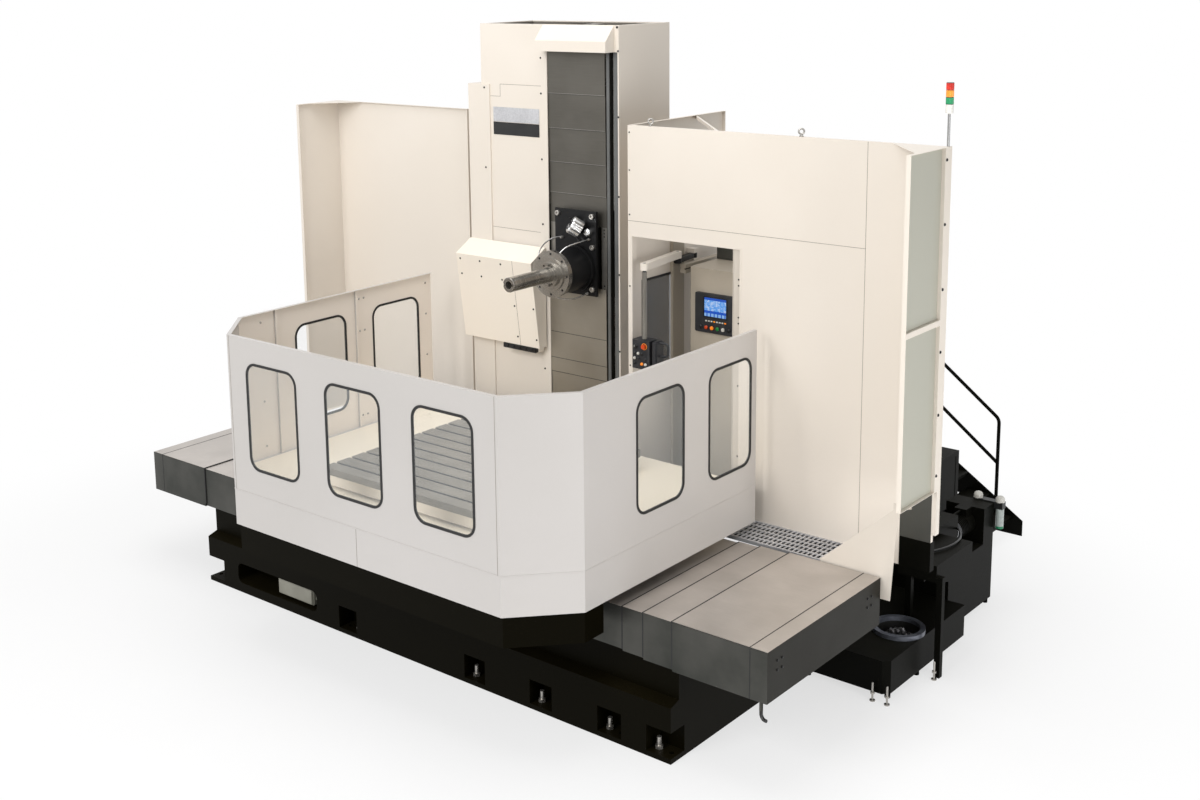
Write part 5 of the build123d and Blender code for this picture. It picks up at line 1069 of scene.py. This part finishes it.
# The stop strip is in the darker cream, which is painted shade.
door_stop = [
    ((stop_left, booth_front + 0.012, deck), (door_right, booth_front + 0.022, door_top), 0.002),
    ((stop_left, booth_front + 0.010, deck), (stop_left + 0.010, booth_front + 0.050, door_top), 0.002),
]
bar_piece("door_stop", door_stop, apron_shaded_cream, "base")
stop_screws = [(1.872, booth_front + 0.012, z) for z in (3.088, 3.038, 2.774, 2.724, 2.2, 1.6)]
dome_screws("door_stop_screws", stop_screws, toward, 0.007, satin_black, "base")
window_low, window_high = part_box("booth_window_pane")
seal_width, seal_outer, seal_inner = 0.022, window_low.x - 0.004, window_high.x + 0.003
seal_sides = ((seal_outer, window_low.x), (seal_inner, seal_inner + 0.006))
seal = []
for low_y, high_y, low_z, high_z in (
    (window_low.y, window_high.y, window_high.z - seal_width, window_high.z),
    (window_low.y, window_high.y, window_low.z, window_low.z + seal_width),
    (window_low.y, window_low.y + seal_width, window_low.z, window_high.z),
    (window_high.y - seal_width, window_high.y, window_low.z, window_high.z),
):
    seal += [((near, low_y, low_z), (far, high_y, high_z), 0.001) for near, far in seal_sides]
bar_piece("booth_window_seal", seal, rubber_and_shade, "base")
print("doorway", round(door_right - door_left, 3), "m wide")

# %% [markdown]
# Inside the booth a post stands beside the window, a slotted rail for the boom's cables runs back
# under the ceiling, and a sheet duct on the cabinet takes them down; the post and the rail are in a
# darker cream that paints the booth's shade. In the return's tray lies a recessed panel in a darker,
# cooler cream, which paints the shade of the recess, and a dark grey sheet at the wall's foot below
# the return paints the shade there. All are plain sheet parts, so one table gives each piece its
# finish and its bars.

# %% Booth fittings
wall_foot, wall_right, wall_rear = booth_low.z, booth_high.x, booth_front + 0.062
shade_plate_left, shade_plate_foot, shade_plate_front, seal_skin = 3.345, 1.275, booth_front - 0.003, 0.002
seal_foot = wall_foot - seal_skin
booth_fittings = {
    ("booth_window_post", shaded_cream): [((0.774, 1.828, deck), (0.802, 2.004, 3.900), 0.003)],
    ("cable_rail", shaded_cream): [
        ((0.870, 1.840, 2.965), (0.930, 2.600, 3.000), 0.003),
        ((0.870, 1.840, 2.920), (0.930, 2.600, 2.953), 0.003),
        ((0.876, 1.845, 2.950), (0.918, 2.595, 2.968), 0.001),
    ],
    ("cable_rail_slot", black_plastic_and_shadow): [((0.915, 1.842, 2.953), (0.921, 2.598, 2.965), 0.001)],
    ("cabinet_cable_duct", shade_and_duct_grey): [
        ((1.002, 2.220, 3.001), (1.596, 2.316, 3.180), 0.004),
        ((1.020, 2.214, 3.020), (1.578, 2.222, 3.160), 0.002),
    ],
    # Thin panels in the darker, cooler cream: painted shade in the return's recess.
    ("return_recess_panels", recess_shade_green): [
        ((3.6035, 0.634, 1.694), (3.6075, 1.170, 2.973), 0.001),
        ((3.6035, 0.634, 3.017), (3.6075, 1.170, 4.276), 0.001),
    ],
    # A dark grey sheet below the right return: painted shade.
    ("booth_kick_plate", shade_and_duct_grey): [
        ((shade_plate_left, shade_plate_front, shade_plate_foot), (wall_right, booth_front, 1.688), 0.001),
    ],
    ("booth_foot_seal", charcoal): [
        ((shade_plate_left, shade_plate_front, wall_foot), (wall_right, booth_front, shade_plate_foot), 0.001),
        ((shade_plate_left, shade_plate_front, seal_foot), (wall_right, wall_rear, wall_foot)),
        ((wall_right, shade_plate_front, seal_foot), (wall_right + seal_skin, wall_rear, shade_plate_foot)),
    ],
}
for (name, finish), bars in booth_fittings.items():
    bar_piece(name, bars, finish, "base")
print("booth fittings", len(booth_fittings))

# %% [markdown]
# In the bed's core slot sits a grey terminal box with a lid and cable glands, and under the cover's
# corner a bent drain pipe hangs out. The box is two bars and four turned glands in one mesh, and the
# pipe is a curve, which bends without corners.

# %% Terminal box and drain
terminal = bmesh.new()
add_bar(terminal, (-1.70, -0.735, 0.105), (-1.235, -0.58, 0.262), 0.006)
add_bar(terminal, (-1.69, -0.748, 0.113), (-1.245, -0.733, 0.254), 0.005)
gland_profile = [(0.012, 0), (0.012, 0.012), (0.008, 0.016), (0.007, 0.028)]
gland_x, gland_start, gland_z, gland_pitch = -1.232, -0.70, 0.165, 0.03
for gland in range(4):
    gland_place = (gland_x, gland_start + gland * gland_pitch, gland_z)
    add_turned(terminal, gland_place, rightward, gland_profile, 12)
terminal_grey = powder_coat("terminal_grey", "drum_steel", rgb(150, 148, 136), rgb(132, 130, 119), 0.5, 4.0)
finish_piece("terminal_box", terminal, terminal_grey, "base")
drain_x, drain_y = ends_high.x - 0.060, -0.764
bend = ((0, 0, 0.665), (0, 0, 0.640), (0.004, -0.004, 0.612), (0.030, -0.012, 0.590), (0.052, -0.018, 0.596))
drain_route = [(drain_x + x, drain_y + y, z) for x, y, z in bend]
bent_tube("drain_bend", drain_route, 0.0125, black_plastic_and_shadow, "base")
print("terminal box and drain made")

# %% [markdown]
# The drum holds turned steel chips. Each chip is a narrow ribbon rolled into a few loose turns, and
# a seeded random number places it in a heap that is higher in the middle. A particle system could
# fill the drum, but a seeded loop gives the same heap each time.

# %% Chips
bin_x, bin_y = (drum_low.x + drum_high.x) / 2, (drum_low.y + drum_high.y) / 2
heap_radius, heap_foot, heap_rise, chip_count, chip_steps = 0.128, drum_high.z - 0.13, 0.07, 180, 15
chips = bmesh.new()
for chip in range(chip_count):
    out = heap_radius * math.sqrt(random.random())
    angle = random.uniform(0, 2 * math.pi)
    centre = Vector((bin_x + out * math.cos(angle), bin_y + out * math.sin(angle), 0))
    centre.z = heap_foot + heap_rise * (1 - (out / heap_radius) ** 2) + random.uniform(-0.02, 0.02)
    lean = Matrix.Rotation(random.uniform(0, 6.28), 3, "Z")
    lean = lean @ Matrix.Rotation(random.uniform(0.4, 1.5), 3, "X")
    curl, turns, wide = random.uniform(0.008, 0.018), random.uniform(1.0, 2.4), random.uniform(0.004, 0.008)
    before = None
    for step in range(chip_steps):
        spin = 2 * math.pi * turns * step / (chip_steps - 1)
        low_point = Vector((curl * math.cos(spin), curl * math.sin(spin), wide * turns * step / 10))
        pair = [chips.verts.new(centre + lean @ (low_point + Vector((0, 0, lift)))) for lift in (0, wide)]
        if before:
            chips.faces.new((before[0], pair[0], pair[1], before[1]))
        before = pair
bed_radius = heap_radius + 0.04
bed_profile = [(0.05, 0), (bed_radius, 0), (bed_radius, 0.004), (heap_radius * 0.6, 0.05), (0.02, 0.065)]
add_turned(chips, (bin_x, bin_y, heap_foot - 0.03), upward, bed_profile, 32)
chip_steel = ground_steel("chip_steel", "machined_steel", rgb(150, 150, 152), rgb(84, 82, 84), all_ways, 0.35)
finish_piece("steel_chips", chips, chip_steel, "base", 60)
print("chips", chip_count)

# %% [markdown]
# The sump in front of the tank is levelled with jack bolts, bright from use, and the mouth of the
# conveyor has a steel flap on its left side. The gearmotor's fan has a pressed cowl whose two bright
# rings are painted highlights; its lead runs over the conveyor's head, and a skirt closes the deck's
# right side. White fluted caps sit on the air filters. The helpers for bars, turned forms and tubes
# make them all.

# %% Fittings of the chip handling
jack = [(0.022, 0), (0.022, 0.010), (0.008, 0.014), (0.008, 0.060), (0.017, 0.060)]
jack += [(0.017, 0.075), (0.008, 0.075), (0.008, 0.150), (0.004, 0.154)]
jack_feet = [(3.290, 0.950, 0), (3.410, 0.955, 0), (3.505, 1.560, 0)]
turned_piece("jack_bolts", jack_feet, upward, jack, turned_steel, "base", 16)
flap = bmesh.new()
add_bar(flap, (3.160, 1.590, 0.880), (3.300, 1.599, 0.924), 0.002)
add_turned(flap, (3.150, 1.594, 0.924), rightward, [(0.007, 0), (0.007, 0.160), (0.004, 0.164)], 14)
finish_piece("chute_flap", flap, zinc_and_highlight, "base")
filter_cap = [(0.040, 0), (0.040, 0.026), (0.034, 0.042), (0.022, 0.052), (0.008, 0.056)]
cap_feet = [(cap_x, 3.235, filter_high.z - 0.002) for cap_x in (3.090, 3.290)]
turned_piece("filter_caps", cap_feet, upward, filter_cap, key_white, "base", 28, 14, 0.002, 30)
motor_x, motor_y, motor_z = 3.080, 2.738, 0.780
cowl = [(0.094, 0), (0.094, 0.022), (0.084, 0.032), (0.060, 0.036), (0.056, 0.030), (0.024, 0.030)]
cowl += [(0.022, 0.042), (0.010, 0.044)]
turned_piece("motor_cowl", [(motor_x, motor_y, motor_z)], toward, cowl, moulded, "base", 48)
# Two zinc rings on the cowl are painted highlights.
cowl_highlight_rings = bmesh.new()
for ring_radius in (0.074, 0.046):
    add_ring(cowl_highlight_rings, (motor_x, motor_y - 0.034, motor_z), 0, ring_radius, 0.003, 40, 8)
finish_piece("motor_cowl_highlight_rings", cowl_highlight_rings, zinc_and_highlight, "base")
lead = [(3.100, 2.704, 0.800), (3.150, 2.640, 0.860), (3.300, 2.420, 0.920), (3.400, 2.200, 0.945)]
lead += [(3.400, 2.000, 0.945), (3.320, 1.800, 0.944), (3.240, 1.700, 0.944), (3.180, 1.680, 0.944)]
bent_tube("motor_lead", lead, 0.009, black_plastic_and_shadow, "base")
skirt = [((2.586, 2.700, 0.560), (2.597, 3.842, 1.050), 0.001)]
skirt += [((2.580, 2.700, 0.560), (2.597, 3.842, 0.584), 0.001)]
bar_piece("deck_skirt", skirt, charcoal, "base")
print("jack bolts", len(jack_feet))

# %% [markdown]
# The camera repeats the photograph: it stands in front of the right end of the bed, above the
# guard, and looks down a little. Its place and turn were solved from edges of known direction.
# The photograph is a crop, so the picture's centre is shifted on the sensor.

# %% Camera
heading, tilt, roll = 0.7114, 0.1841, -0.0173
look = Vector((-math.sin(heading) * math.cos(tilt), math.cos(heading) * math.cos(tilt), -math.sin(tilt)))
level_right = Vector((math.cos(heading), math.sin(heading), 0))
level_up = level_right.cross(look)
right = level_right * math.cos(roll) + level_up * math.sin(roll)
up = level_up * math.cos(roll) - level_right * math.sin(roll)
lens = bpy.data.cameras.new("photo_camera")
lens.sensor_width = 36
lens.lens = 44.62
lens.shift_x = 0.0592
lens.shift_y = -0.1303
camera = bpy.data.objects.new("photo_camera", lens)
camera.matrix_world = Matrix((right, up, -look)).transposed().to_4x4()
camera.location = (8.2586, -8.7686, 5.5997)
bpy.context.scene.collection.objects.link(camera)
bpy.context.scene.camera = camera
print("camera at", [round(part, 2) for part in camera.location])

# %% [markdown]
# The studio has a pale floor that keeps the machine's shadow near its feet and fades into a white
# surround. Both show white to the camera and in reflections only, so that they add no light to the
# machine and its paint keeps its own colour.

# %% Floor
floor_half, near_share, fade_from, fade_to = 60.0, 0.65, 3.6, 7.0
paving = Finish("studio_floor", None)
grain = paving.noise(0.6, 2)
paving.set(base_color=paving.mix(grain, rgb(244, 244, 244), rgb(249, 249, 249)), roughness=0.9)
away = paving.soft_step(paving.vector("LENGTH", paving.place(), output=1), fade_from, fade_to)
share = paving.seen() * (near_share + away * (1 - near_share))
glow = paving.node("ShaderNodeEmission", None, {"Color": (1, 1, 1, 1), "Strength": 1.0})
surface = Value(paving, paving.surface.outputs[0])
blend = paving.node("ShaderNodeMixShader", None, {0: share, 1: surface, 2: glow})
paving.feed(paving.tree.nodes["Material Output"].inputs["Surface"], blend)
floor_shape = bmesh.new()
bmesh.ops.create_grid(floor_shape, x_segments=4, y_segments=4, size=floor_half)
floor_data = bpy.data.meshes.new("studio_floor")
floor_shape.to_mesh(floor_data)
floor_shape.free()
floor_data.materials.append(paving.material)
floor = bpy.data.objects.new("studio_floor", floor_data)
bpy.context.scene.collection.objects.link(floor)
print("floor", 2 * floor_half, "m wide")


# %% [markdown]
# A large soft lamp in front models the machine, a second one from the right keeps the side walls
# open, and one overhead lights the covers. Their power is low enough that pale paint stays below
# white.

# %% Surround and lamps
def area_lamp(name, place, aim, size, power):
    lamp = bpy.data.lights.new(name, "AREA")
    lamp.size = size
    lamp.energy = power
    holder = bpy.data.objects.new(name, lamp)
    holder.location = place
    holder.rotation_euler = (Vector(aim) - Vector(place)).to_track_quat("-Z", "Y").to_euler()
    bpy.context.scene.collection.objects.link(holder)


world = bpy.data.worlds.new("studio")
bpy.context.scene.world = world
world.use_nodes = True
surround = Network(world.node_tree)
ambient = 0.42
strength = surround.seen() * (1 - ambient) + ambient
background = world.node_tree.nodes["Background"]
background.inputs["Color"].default_value = (1, 1, 1, 1)
surround.feed(background.inputs["Strength"], strength)
machine_middle = (0.2, 0.5, 1.8)
area_lamp("key_lamp", (-0.5, -18.0, 12.0), machine_middle, 10.0, 2350)
area_lamp("fill_lamp", (9.5, -1.5, 2.3), (2.0, 0.0, 1.9), 3.0, 230)
area_lamp("top_lamp", (0.5, -0.5, 11.0), machine_middle, 7.0, 420)
bpy.context.scene.view_settings.view_transform = "Standard"
print("studio ready")
